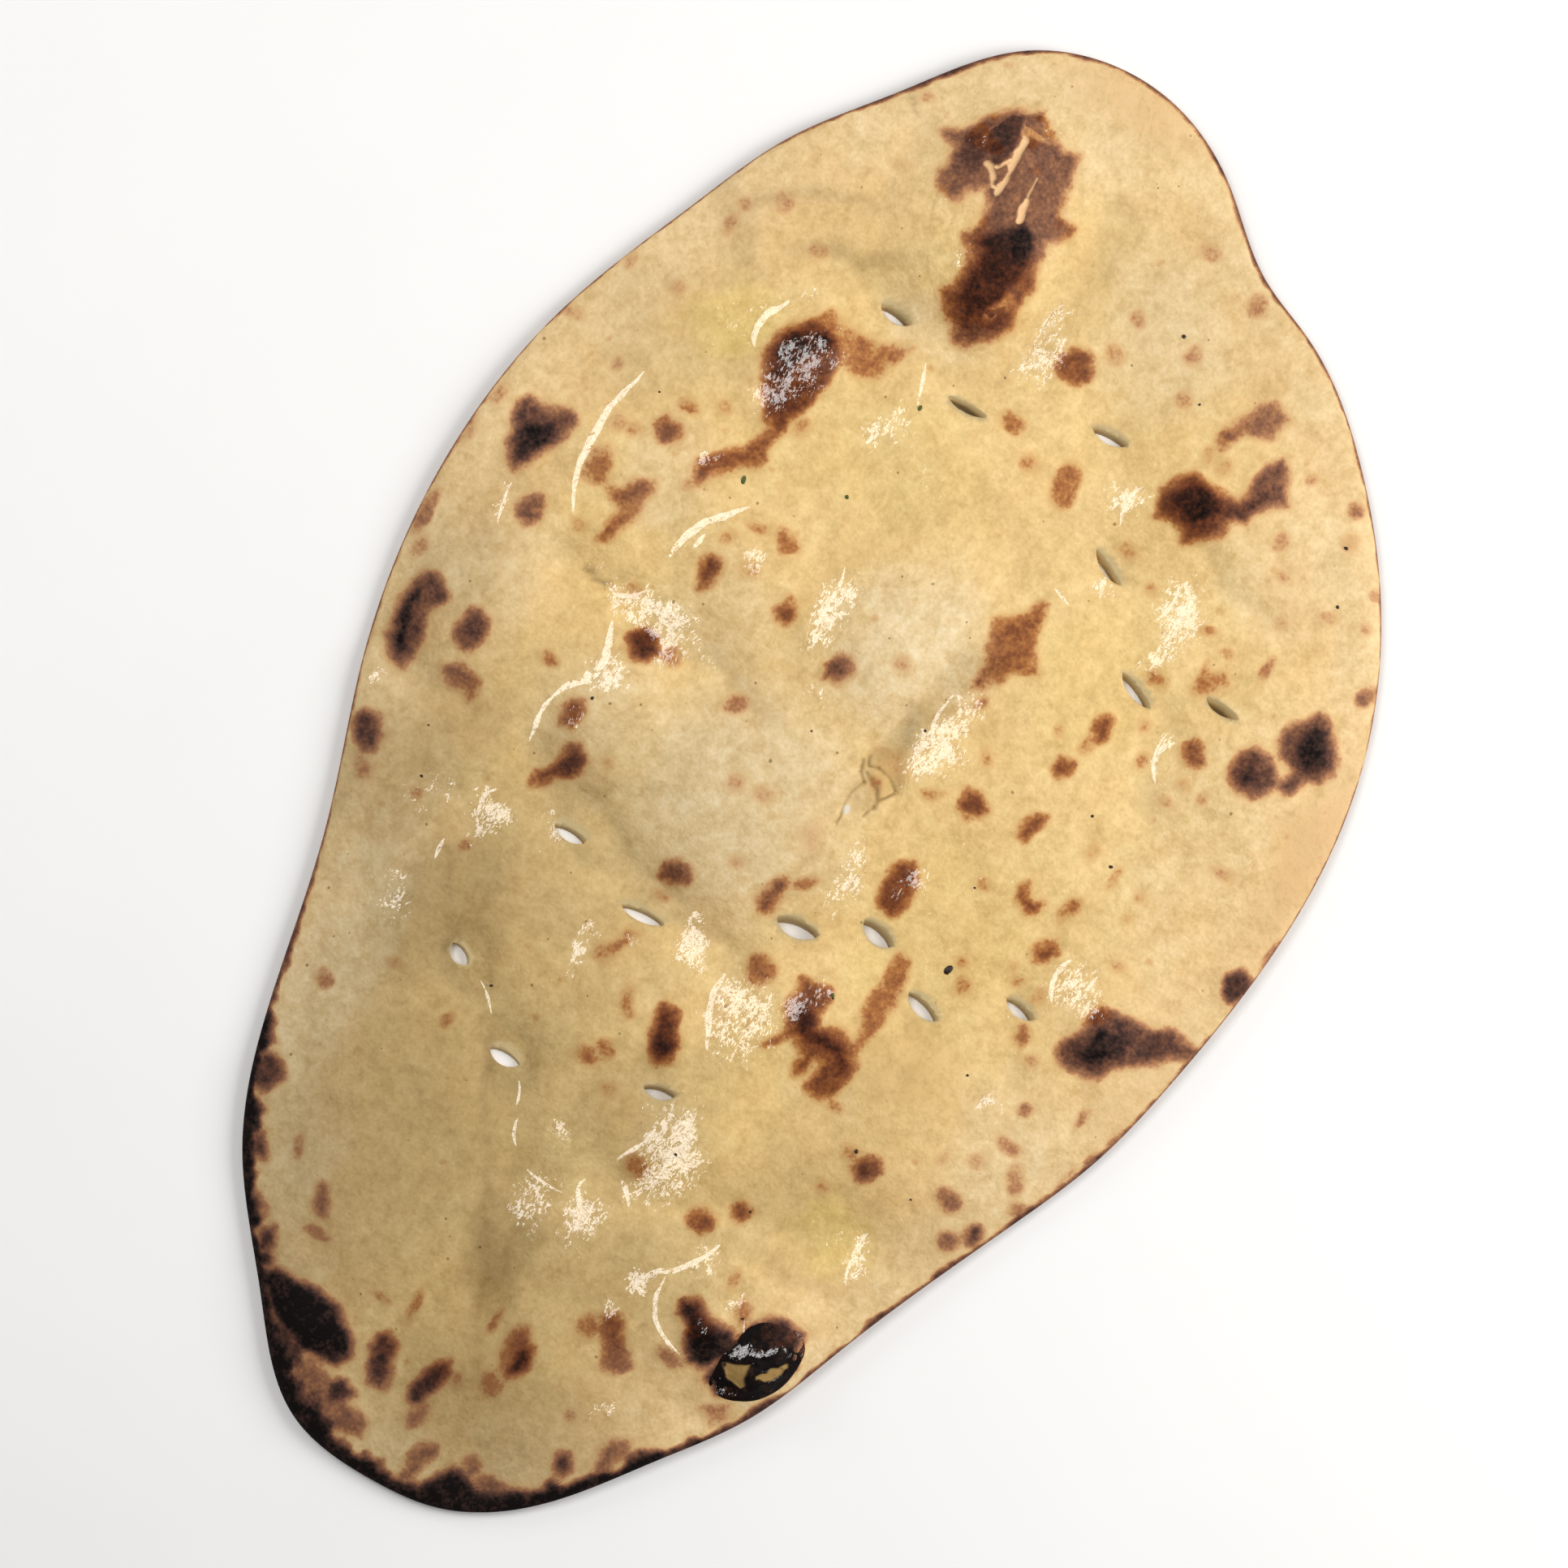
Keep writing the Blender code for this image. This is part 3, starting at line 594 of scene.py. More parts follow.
FAINT_SPOTS = [
    (-55.5, 90, 3, 4), (-61.5, 86.5, 2, 2), (30.5, 88.5, 2, 3), (48.3, 94.3, 2, 2), (60, 87.5, 2.5, 3.5),
    (52.8, 76.5, 2, 2), (69.6, 76.2, 2, 1.6), (63, 74.5, 2.5, 1.6), (68.4, 82, 2, 2), (-46.5, 53.5, 3, 2),
    (-58.3, 42, 2, 2), (-61, 42, 2.5, 2.5), (-58.5, 23.5, 3, 2), (-33, 57, 3, 4), (-78, 55, 3, 2.5),
    (-74, 68, 2, 3), (-64.5, 67.5, 3, 3), (-67, 51, 2, 2.5), (-28.7, 31, 4, 3), (-34.5, 34, 2, 2),
    (-44.5, 18, 3, 3), (51, 60, 2, 1.5), (27, 67.3, 4, 3), (33.7, 63.2, 2, 2), (56.6, 69.5, 2, 1.6),
    (44.7, 42.3, 2, 2), (55.7, 36.5, 1.6, 1.6), (60, 36, 2, 2), (54.7, 32, 2, 1.6),
    (32.2, 34.3, 1.6, 1.6), (48, 18, 2, 3), (58.8, 15.7, 2, 2), (58.8, 11.3, 1.6, 1.6),
    (69.5, 26.5, 3.4, 2.5), (34.3, 4.2, 2.5, 1.6), (62, 3.4, 2, 2), (2.8, 30, 4, 4),
    (-33.5, -10.3, 1.6, 1.6), (-12.3, -2, 3.4, 4), (-7, -1.5, 4, 3), (-5, -14, 2, 2),
    (-47.5, -35.5, 2, 2), (-48, -59.5, 3, 1.6), (-35, -63.5, 2.5, 4), (-59.5, -32, 2, 2), (38, -10, 2, 2),
    (52, -10, 1.6, 1.6), (56.7, -18.8, 2.5, 1.6), (48, -7.5, 2, 2), (52.7, -8, 2, 2),
    (46, -5.5, 1.6, 1.6), (57.3, -38.5, 2.5, 2.5), (52, -41, 1.6, 2.5), (36.5, -56, 2.5, 2),
    (-20.5, -111.5, 4, 2), (31, -77.5, 2, 3), (18, -112.5, 2, 2), (9, 10, 3, 3), (-5, -60, 3, 2),
    (-62, 82, 2, 4), (-46, 86, 3, 3), (8, 96, 3.4, 3.4), (8.3, 103, 3, 3), (20, 102.5, 3, 4),
    (22.5, 94.7, 3.4, 3.4), (13.5, 119.5, 4.4, 3.4), (4.3, 71.7, 4, 3.4), (46, 62, 3.6, 2.2),
    (37.7, 34, 2, 3), (53.7, 16.2, 2, 4), (-82, 36, 3, 5), (-83.5, 28, 3, 6), (-80.5, 6, 3, 5),
    (72.5, -33, 2, 5), (34, 88, 3, 3), (52.5, -15, 1.8, 2.4), (-13, -132.5, 3, 1.5), (-43, 118.5, 2.4, 2),
]
# How deep each list baked, and the least size at which a spot bakes that far
SPOTS = [
    (DARK_SPOTS, 0.8, 5.0), (BROWN_SPOTS, 0.6, 4.0), (TOASTED_SPOTS, 0.45, 3.0), (FAINT_SPOTS, 0.33, 2.0),
]
print("scorch marks:", len(BLOTS), "outlined and", sum(len(spots) for spots, *_ in SPOTS), "ovals")

# %% [markdown]
# The rim is thin, so it burns all round, most at the narrow end that hung lowest in the oven. A few
# places along the rim say how wide the burnt band is, and it is read between them by direction.

# %% How each place is baked
RIM_BURN = [
    (84, 20, 0.3), (75, 70, 0.3), (55, 100, 0.5), (30, 118, 0.6), (10, 132, 0.7), (-20, 138, 0.6),
    (-40, 127, 0.9), (-60, 101, 0.5), (-75, 70, 0.3), (-84, 30, 0.4), (-80, -15, 0.4), (-70, -45, 0.4),
    (-65, -70, 1.0), (-62, -80, 1.8), (-57, -97, 2.8), (-50, -108, 2.4), (-44, -115, 2.6), (-37, -124, 3.0),
    (-29, -133, 4.6), (-20, -138, 4.8), (-10, -139.5, 4.0), (0, -139.5, 4.0), (7, -138, 5.2),
    (16, -133, 4.6), (23, -127, 3.6), (29, -120, 2.4), (38, -108, 1.6), (50, -88, 1.0), (60, -65, 0.9),
    (70, -42, 0.9), (78, -20, 0.6),
]
burn_turn, burn_width = zip(*sorted((math.atan2(y, x), width) for x, y, width in RIM_BURN))


def ragged(x, y):
    """The same places pushed about a little, so that marks get uneven edges."""
    shift_x = noise_layers(x, y, (0.5, 3.6, 1), (0.3, 1.3, 2))
    shift_y = noise_layers(x, y, (0.5, 3.6, 3), (0.3, 1.3, 4))
    return x + shift_x, y + shift_y


def inside_distance(x, y, corners):
    """Distance to the line round some corners, above 0 inside it and below 0 outside."""
    nearest = np.full(np.shape(x), 1e9)
    inside = np.zeros(np.shape(x), bool)
    for (ax, ay), (bx, by) in zip(corners, corners[1:] + corners[:1]):
        nearest = np.minimum(nearest, line_distance(x, y, ax, ay, bx, by))
        if ay != by:
            inside ^= ((ay > y) != (by > y)) & (x < ax + (bx - ax) * (y - ay) / (by - ay))
    return np.where(inside, nearest, -nearest)


def near_box(x, y, low, high):
    """The numbers of the places that lie in a box in plan."""
    return np.flatnonzero((x > low[0]) & (x < high[0]) & (y > low[1]) & (y < high[1]))


# How far a large mark fades outwards and inwards, and a small one outwards, in millimetres
FADE_OUT, FADE_IN, SPOT_FADE_OUT = 2.2, 1.5, 1.9
# The power by which marks that meet join
JOIN = 8


def scorch(x, y):
    """How far each place is baked: 0 is pale dough and 1 is char.

    A mark's depth fades from inside its edge to outside it with a smooth step. Where marks meet, they
    join as the eighth root of the sum of their eighth powers, a rounded kind of maximum.
    """
    at_x, at_y = (places.ravel() for places in ragged(x, y))
    baked = np.zeros(at_x.shape)
    for depth, corners in BLOTS:
        near = near_box(at_x, at_y, np.min(corners, axis=0) - FADE_OUT, np.max(corners, axis=0) + FADE_OUT)
        inside = inside_distance(at_x[near], at_y[near], corners)
        baked[near] += (depth * smooth_step(inside, -FADE_OUT, FADE_IN)) ** JOIN
    for spots, depth, full_size in SPOTS:
        for middle_x, middle_y, width, length, *turn in spots:
            oval = (middle_x, middle_y, width / 2, length / 2, turn[0] if turn else 0)
            reach = max(width, length) + FADE_OUT
            near = near_box(at_x, at_y, np.subtract(oval[:2], reach), np.add(oval[:2], reach))
            radius = (width + length) / 4
            inside = (1 - oval_distance(at_x[near], at_y[near], oval)) * radius
            here = depth * min(1, 2 * radius / full_size) ** 0.4
            fade = smooth_step(inside, -SPOT_FADE_OUT, min(FADE_IN, 0.65 * radius))
            baked[near] += (here * fade) ** JOIN
    baked = baked.reshape(np.shape(x)) ** (1 / JOIN)
    inset = np.maximum(0, rim_distance(x, y))
    band = np.interp(np.arctan2(y, x), burn_turn, burn_width, period=2 * math.pi)
    band = band * (1 + noise_layers(x, y, (0.45, 4.5, 5), (0.35, 1.6, 6)))
    rim = (1 - smooth_step(inset / band, 0.3, 1.7)) * (0.6 + 0.42 * smooth_step(band, 0.4, 2.2))
    return np.minimum(1, np.maximum(baked, rim))


# %% [markdown]
# ## Butter, flour and tone
# Melted butter was brushed over the middle. It soaks in and turns the crust yellow, it lies as a shiny
# film in the patches below, and it leaves the tops of the highest puffs and the rim dry and floury. The
# hollows and a few broad patches, most towards the narrow end and the left where less light falls, are
# greyed with painted shade. Parts of the rim and a few puffs are softly browned without a mark. A few
# fine creases cross the bread, and they get painted shade as the hollows do.

# %% Patches of butter, flour and painted shade
# Middle across and along, half width, half length, turn, strength
SHINE = [
    (-39, 16, 11, 2.8, -6, 1.0), (-11.6, 33, 3.4, 8, 0, 0.95), (16, 23, 4.4, 8.5, -10, 0.95),
    (41, 60, 4.4, 7.4, 10, 1.0), (39.5, 53, 2.5, 2, 0, 1.0), (27, 59.5, 1.8, 2, 0, 1.0),
    (22.5, 74, 2.8, 5, 20, 0.8), (-3.4, 92, 2.6, 8, 0, 0.8), (9, -36.5, 7, 7, 10, 0.93),
    (10, -64.5, 5.6, 9, 10, 1.1), (58, -3.5, 5, 4.6, 0, 0.9), (-4.8, -31.5, 3.4, 4.2, 20, 1.0),
    (-20, -40, 1.6, 5.6, 0, 0.9), (-47, -29, 3, 5.8, 0, 1.1), (-55, -50, 5, 5, 0, 0.7),
    (-75, -18, 2, 1.4, 0, 0.9), (-72, 20, 1.3, 4.4, 0, 0.8), (48, -64, 1.8, 5.4, -8, 0.75),
    (-6, -84, 5.6, 4.6, 0, 0.8), (3.2, -82, 2.8, 5, 0, 1.0), (13.8, -8, 2.4, 7.2, 0, 0.9),
    (-40.6, 2, 4.8, 2.8, 0, 1.0), (-38.6, 64.6, 4.4, 7.6, -8, 1.15), (-44, 43, 1.7, 2.4, 0, 1.0),
    (17.3, -29, 2.4, 4, 0, 0.9), (22, -1, 2, 3.2, 0, 0.9), (-20, 64, 4.4, 3.4, 20, 0.7),
    (-29, 32.5, 3.4, 2.6, 0, 0.9), (24, -77, 2.4, 4.4, -40, 0.7), (17.5, -86, 2.6, 3.4, 20, 1.0),
    (-8, -71, 3.4, 2.4, -40, 0.8), (7, -74, 2.4, 2.2, 0, 0.8), (49.6, 40, 1.4, 4.6, 0, 0.9),
    (71, 31, 1.6, 1.6, 0, 0.9), (-46, 79, 3.6, 2, 60, 0.5), (41, -86, 4, 4.4, 0, 1.0),
    (30, -87.5, 3, 2.8, 0, 0.8), (14, -92.5, 2.4, 3, 0, 0.9), (-33, 11, 2.4, 2.2, 0, 0.9),
    (-41.4, -6, 1.8, 2, 0, 0.9), (-58, -30, 5, 4, -30, 0.6), (-37, -25, 4, 1.5, -10, 0.8),
    (-13, -36, 1.6, 1.4, 0, 0.6), (23, -108.5, 1.8, 1.6, 0, 0.8), (55, -28.5, 1.6, 1.2, 0, 0.8),
    (34, -81, 1.3, 3.4, 20, 0.9), (8, -58, 6, 2.2, 10, 0.8), (-7.5, 17, 3.4, 1.4, -30, 0.7),
]
POOLED = [
    (-52, 68, 10, 7, 35, 1.0), (42, -63, 8, 6.5, 20, 1.0), (-16, 60, 22, 14, 0, 0.6),
    (33, 45, 14, 22, 0, 0.55), (32, -10, 20, 26, 0, 0.6), (-36, 50, 10, 9, 0, 0.5),
    (14, -48, 14, 18, 0, 0.5), (18, 82, 16, 14, 0, 0.35), (-30, 20, 16, 12, 0, 0.35),
    (-12, -66, 16, 12, 0, 0.35),
]
FLOURY = [
    (2, 34, 12, 14, -15, 1.0), (-10, -4, 18, 19, 0, 0.85), (-38, -5, 9, 13, 0, 0.5),
    (-58, -62, 9, 24, 6, 0.8), (-66, 8, 9, 13, 0, 0.5), (14, 104, 12, 14, 0, 0.5),
    (-50, -96, 9, 16, 25, 0.6), (-50, 38, 8, 9, 0, 0.5), (-27, 22, 10, 9, 0, 0.4),
    (-21, 128, 20, 9, 0, 0.5), (62, -38, 8, 13, 20, 0.5), (-20, 84, 11, 6, 0, 0.4),
    (52, 80, 12, 14, 0, 0.4), (64, 30, 12, 22, 0, 0.3),
]
BROWNED = [
    (79, -18, 11, 28, 0, 0.17), (82, 38, 9, 24, 0, 0.23), (-10, 136, 20, 8, 0, 0.19),
    (52, 102, 9, 18, 35, 0.09), (56, 74, 9, 10, 0, 0.13), (40, -52, 16, 14, 0, 0.12),
    (36, -32, 14, 10, 0, 0.16), (66, -62, 8, 12, 0, 0.15), (9, 15, 4, 3.5, 0, 0.26),
    (4.5, -2, 3, 3.5, 0, 0.24), (10, 8.5, 1.2, 3.5, -20, 0.2), (-62, 84, 8, 12, 40, 0.12),
]
# Painted shade: broad patches darken the crust where less light falls, most towards the narrow end and the
# left, and narrow strips darken the creases
SHADE_PATCHES = [
    (-34, -90, 32, 50, 6, 0.56), (-40, -40, 28, 34, 0, 0.38), (0, -118, 26, 22, 0, 0.6),
    (-62, -30, 16, 24, 0, 0.5), (0, -62, 16, 13, 0, 0.44), (10, -92, 20, 16, 0, 0.42),
    (-74, 0, 10, 24, 0, 0.34), (-62, 60, 13, 13, 0, 0.2), (-45, -47, 13, 20, 0, 0.64),
    (28, 104, 20, 16, 0, 0.08), (10, 110, 12, 10, 0, 0.12), (-20, -50, 16, 12, 0, 0.32),
    (-10, -4, 19, 20, 0, 0.13), (-62, 84, 3, 13, 38, 0.2), (-7, -94, 8.5, 13, 20, 0.74),
    (-40, 88, 8, 2, 25, 0.25), (42, 73, 11, 2, -10, 0.2), (9, 19, 1.8, 11, -12, 0.25),
    (-70, -13, 11, 2, -8, 0.3), (-30, -20, 14, 1.8, -15, 0.3), (-12, -27, 13, 1.8, -3, 0.25),
    (24, -74, 24, 3, 12, 0.25), (-46, -34, 2.2, 11, 25, 0.45), (-28, -58, 13, 2, -38, 0.45),
    (-20, 12, 18, 1.8, -12, 0.25), (58, -52, 8, 14, -30, 0.15), (33, -58, 14, 12, 0, 0.25),
    (40, -30, 15, 13, 0, 0.13),
]
# The places that a fine crease passes, its width and how deep it lies, in millimetres
FINE_CREASES = [
    ([(-27, -64), (-21, -74), (-12.5, -90), (-8, -98), (-3.5, -108), (0, -116)], 1.2, 0.17),
    ([(-53.4, 17.2), (-51, 16.6), (-49.1, 16.4)], 0.5, 0.45),
    ([(-48.8, -38), (-45, -45), (-42, -52)], 1.2, 0.12),
    ([(-47, 117.5), (-45.2, 116.2), (-43.6, 114.2)], 0.45, 0.3),
    ([(-60, 88), (-52, 94), (-43, 97)], 1.5, 0.2),
    ([(8, 24), (11, 18), (12.5, 11)], 1.4, 0.25),
]


def path_distance(x, y, path):
    """Distance to a line through several places."""
    return np.min([line_distance(x, y, *a, *b) for a, b in zip(path, path[1:])], axis=0)


def crease_depth(x, y):
    """How deep the creases lie below the crust, each with a bell-shaped section and an uneven line."""
    at_x, at_y = x + 0.9 * soft_noise(x, y, 7, 17), y + 0.5 * soft_noise(x, y, 3, 18)
    deep = np.zeros(np.shape(x))
    for path, width, depth in FINE_CREASES:
        deep = np.maximum(deep, depth * np.exp(-((path_distance(at_x, at_y, path) / width) ** 2)))
    return deep * (1 + 0.5 * soft_noise(x, y, 9, 19))


def patches(x, y, ovals, seed, softness):
    """How strongly each place lies in a list of soft ovals, the strongest one winning."""
    at_x = x + noise_layers(x, y, (2.2, 6.5, seed), (0.8, 2.1, seed + 2))
    at_y = y + noise_layers(x, y, (2.2, 6.5, seed + 1), (0.8, 2.1, seed + 3))
    cover = np.zeros(np.shape(x))
    for oval in ovals:
        fade = 1 - smooth_step(oval_distance(at_x, at_y, oval), 1 - softness, 1 + softness)
        cover = np.maximum(cover, oval[5] * fade)
    return cover


# %% [markdown]
# ## The height of the finished crust
# On top of the solid's form come the small things: lumps of 3 to 13 mm, longer folds on the side where
# the dough was pulled, a slight rise where a mark scorched, the fine creases, and the gentle folds on
# which butter shines, because they lean towards the light. They stay within a few tenths of a
# millimetre, so the crust keeps the solid's size.

# %% Fine relief
# Height, size and seed of the lumps
LUMPS = [(0.36, 13, 11), (0.22, 6, 12), (0.1, 2.8, 13)]
PULLED_FOLD = 0.3
SCORCH_RISE = 0.12
# How much of the fine relief the highest puffs lose, and between which heights they lose it
TOP_SMOOTHING = 0.8
TOP_HEIGHTS = (7.0, 8.3)
# The folds under butter: only the strong patches have them
FOLDED_FROM = 0.75
FOLD_SLOPE = 0.1
FOLD_MOST = 0.3
TO_THE_LIGHT = (-0.966, 0.259)


def shine_folds(x, y):
    """Folds under the strong butter patches: slope times the way from the light, fading at the edge."""
    folds = np.zeros(np.shape(x))
    for oval in SHINE:
        if oval[5] >= FOLDED_FROM:
            slope = min(FOLD_SLOPE, FOLD_MOST / (0.48 * oval[2]))
            away = (oval[0] - x) * TO_THE_LIGHT[0] + (oval[1] - y) * TO_THE_LIGHT[1]
            folds += slope * away * np.exp(-0.8 * oval_distance(x, y, oval) ** 2)
    return folds


def crust_height(x, y):
    """Height of the crust over the table, in millimetres.

    The fine relief is added to the solid's form. Near the rim the sum falls to the edge's height along
    a quarter of a circle, and the rim's lift comes on top.
    """
    inset = np.maximum(0, rim_distance(x, y))
    fine = noise_layers(x, y, *LUMPS)
    pulled = smooth_step(-x - 0.6 * y, 0, 60)
    fine += PULLED_FOLD * pulled * soft_noise(3.2 * (x - 0.1 * y), 0.45 * y, 16, 15)
    fine += SCORCH_RISE * scorch(x, y) * (1 + 0.6 * soft_noise(x, y, 2.4, 14)) + shine_folds(x, y)
    fine -= crease_depth(x, y)
    dough = dough_form(x, y)
    fine *= 1 - TOP_SMOOTHING * smooth_step(dough, *TOP_HEIGHTS)
    inward = np.minimum(1, inset / RIM_ROUND)
    rounded = np.sqrt(1 - (1 - inward) ** 2)
    top = RIM_EDGE + (dough + fine - RIM_EDGE) * rounded
    return top + rim_lift(np.arctan2(y, x)) * np.maximum(0, 1 - inset / UNDERCUT) ** 2


sample = crust_height(np.array([0.0, -21.0, 60.0]), np.array([36.0, 104.0, 0.0]))
print("crust height on two puffs and between them, in mm:", np.round(sample, 2))

# %% [markdown]
# ## One closed mesh
# The upper face is a fine grid. Its edge goes on as rings round the rim, the rings thin out by two as
# they pass under the bread, and a coarse grid closes the underside, where nobody looks closely. So the
# triangles go where the eye does.

# %% Faces by whole arrays
FINE_ACROSS, FINE_ALONG = 232, 348
COARSE_ACROSS, COARSE_ALONG = FINE_ACROSS // 4, FINE_ALONG // 4
RIM_ROLL = 0.45
ROLL_ANGLES = [55, 25, 0, -25, -55, -90]
SKIRT_INSETS = [2.0, 4.5]
LAST_SKIRT = 6.5
# Height, size and seed of the underside's dents
DENTS = [(0.3, 7, 21), (0.12, 3, 22)]
# Middle across and along, half width, half length and turn of the places that get a fine skin
BURST_BED = (-21.5, 106.5, 13, 22.5, 12)
TORN_BED = (8.6, 7.2, 7, 10.5, 0)
BLISTER_BED = (42, -88.2, 6.8, 9, -14)
BEDS = [BURST_BED, TORN_BED, BLISTER_BED]
BED_DEPTH = 0.8


def sheet_faces(rows, columns, start=0):
    """Squares between the points of a grid with rows by columns points."""
    corner = start + np.arange(rows * columns).reshape(rows, columns)
    squares = np.stack([corner[:-1, :-1], corner[:-1, 1:], corner[1:, 1:], corner[1:, :-1]], axis=-1)
    return squares.reshape(-1, 4)


def edge_order(rows, columns, start=0):
    """The points round a grid's edge, anticlockwise."""
    corner = start + np.arange(rows * columns).reshape(rows, columns)
    return np.concatenate([corner[0, :-1], corner[:-1, -1], corner[-1, :0:-1], corner[:0:-1, 0]])


def ring_faces(outer, inner):
    """Squares between two rings with as many points as each other."""
    return np.stack([outer, inner, np.roll(inner, -1), np.roll(outer, -1)], axis=-1)


def halving_faces(outer, inner):
    """Triangles between a ring and one inside it with half as many points."""
    even, odd, after = outer[0::2], outer[1::2], np.roll(outer[0::2], -1)
    follow = np.roll(inner, -1)
    return np.concatenate([
        np.stack([even, inner, odd], axis=-1),
        np.stack([odd, inner, follow], axis=-1),
        np.stack([odd, follow, after], axis=-1),
    ])


def grid_places(across, along, margin):
    """The plan of a whole grid over the bread."""
    columns, rows = np.meshgrid(np.linspace(-1, 1, across + 1), np.linspace(-1, 1, along + 1))
    return plan_points(columns.ravel(), rows.ravel(), margin)


def new_piece(name, points, faces, material=None):
    """An object whose mesh holds the points, given in millimetres, at their place in the frame."""
    mesh = bpy.data.meshes.new(name)
    mesh.from_pydata((points * MM).tolist(), [], [face for block in faces for face in block.tolist()])
    mesh.shade_smooth()
    piece = bpy.data.objects.new(name, mesh)
    bpy.context.scene.collection.objects.link(piece)
    if material:
        mesh.materials.append(material)
    return piece


# %% The bread's points and faces
def skin_beds(x, y):
    """How far the crust is sunk in the places that get a fine skin of their own later."""
    return BED_DEPTH * np.max([1 - smooth_step(oval_distance(x, y, bed), 0.6, 0.8) for bed in BEDS], axis=0)


def bread_mesh():
    """Points and faces of the whole bread before its slits are cut."""
    top_x, top_y = grid_places(FINE_ACROSS, FINE_ALONG, RIM_ROLL)
    layers = [np.stack([top_x, top_y, crust_height(top_x, top_y) - skin_beds(top_x, top_y)], axis=-1)]
    faces = [sheet_faces(FINE_ALONG + 1, FINE_ACROSS + 1)]
    ring = edge_order(FINE_ALONG + 1, FINE_ACROSS + 1)
    turn = np.arctan2(top_y[ring], top_x[ring])
    reach, lift = reach_at(turn), rim_lift(turn)
    top_edge = crust_height(top_x[ring], top_y[ring]) - lift

    def add_ring(every, inset, height, joined):
        nonlocal ring
        away = reach[::every] - inset
        here = sum(map(len, layers)) + np.arange(len(away))
        layers.append(np.stack([away * np.cos(turn[::every]), away * np.sin(turn[::every]), height], axis=-1))
        faces.append(joined(ring, here))
        ring = here

    for angle in np.radians(ROLL_ANGLES):
        add_ring(1, RIM_ROLL * (1 - np.cos(angle)), lift + top_edge / 2 * (1 + np.sin(angle)), ring_faces)
    for inset in SKIRT_INSETS:
        add_ring(1, inset, lift * (1 - inset / UNDERCUT) ** 2, ring_faces)
    add_ring(2, LAST_SKIRT, lift[::2] * (1 - LAST_SKIRT / UNDERCUT) ** 2, halving_faces)
    under_x, under_y = grid_places(COARSE_ACROSS, COARSE_ALONG, UNDERCUT)
    hollow = np.maximum(0, noise_layers(under_x, under_y, *DENTS))
    hollow *= smooth_step(rim_distance(under_x, under_y), UNDERCUT + 1, UNDERCUT + 8)
    count = sum(map(len, layers))
    layers.append(np.stack([under_x, under_y, hollow], axis=-1))
    faces.append(halving_faces(ring, edge_order(COARSE_ALONG + 1, COARSE_ACROSS + 1, count)))
    faces.append(sheet_faces(COARSE_ALONG + 1, COARSE_ACROSS + 1, count)[:, ::-1])
    return np.concatenate(layers), faces


bread_points, bread_faces = bread_mesh()
roti_crust = new_piece("roti_crust", bread_points, bread_faces)
print("crust before the slits:", len(roti_crust.data.vertices), "points")

# %% [markdown]
# ## The docking slits
# The baker pricks the dough so that it doesn't balloon. A slit is a real hole, so it is cut with a
# Boolean: the cutter is a short lens that leans a little, so that from above its upper wall shows in
# shade and the table shows as a pale sliver below it.

# %% Cut the slits
SLIT_SIDES = 28
SLIT_STRAIGHT_SIDE = 0.35
SLIT_POINT = 0.4
# The more a slit leans, the more of its shaded wall shows and the less of the table
SLIT_LEANS = [0.6, 0.42, 0.45, 0.6, 0.5, 0.6, 0.62, 0.44, 0.3, 0.45, 0.5, 0.42, 0.42, 0.5, 0.4]
SLIT_TOP, SLIT_BOTTOM = 14.0, -4.0


def slit_cutter(slit, lean):
    """A leaning lens, straighter above than below, whose foot is shifted up the bread."""
    middle_x, middle_y, length, width, turn = slit
    angle = 2 * math.pi * np.arange(SLIT_SIDES) / SLIT_SIDES
    side = np.where(np.sin(angle) > 0, SLIT_STRAIGHT_SIDE, 1 - SLIT_STRAIGHT_SIDE)
    along = length / 2 * np.cos(angle)
    across = width * side * np.sin(angle) * np.abs(np.sin(angle)) ** SLIT_POINT
    rings = []
    for height in (SLIT_BOTTOM, SLIT_TOP):
        x, y = turned(along, across + lean * (height - DOUGH), turn)
        rings.append(np.stack([middle_x + x, middle_y + y, np.full(SLIT_SIDES, height)], axis=-1))
    low, high = np.arange(SLIT_SIDES), np.arange(SLIT_SIDES) + SLIT_SIDES
    return np.concatenate(rings), [low[None, ::-1], high[None], ring_faces(high, low)]


cutters = bpy.data.collections.new("slit_cutters")
for number, (slit, lean) in enumerate(zip(SLITS, SLIT_LEANS)):
    cutters.objects.link(new_piece(f"slit_cutter_{number}", *slit_cutter(slit, lean)))
docking = roti_crust.modifiers.new("docking", "BOOLEAN")
docking.operation = "DIFFERENCE"
docking.operand_type = "COLLECTION"
docking.collection = cutters
docking.solver = "EXACT"
bpy.context.view_layer.update()
cut = bpy.data.meshes.new_from_object(roti_crust.evaluated_get(bpy.context.evaluated_depsgraph_get()))
roti_crust.modifiers.clear()
roti_crust.data = cut
cut.materials.clear()
cut.shade_smooth()
for cutter in list(cutters.objects):
    bpy.data.objects.remove(cutter)
bpy.data.collections.remove(cutters)
print("crust with its slits:", len(cut.vertices), "points,", len(cut.polygons), "faces")

# %% [markdown]
# ## Writing the baking onto a mesh
# The finish changes from place to place, so it is worked out at every point of a mesh and kept as named
# attributes. The materials read them and add what is finer than the mesh.

# %% Attributes for a finish
def slit_cover(x, y):
    """1 within a slit's lens and 0 beyond it, with a soft edge of a few tenths of a millimetre."""
    cover = np.zeros(np.shape(x))
    for middle_x, middle_y, length, width, turn in SLITS:
        oval = (middle_x, middle_y - 0.15 * width, length / 2 + 0.15, width * 0.64, turn)
        cover = np.maximum(cover, 1 - smooth_step(oval_distance(x, y, oval), 0.95, 1.12))
    return cover


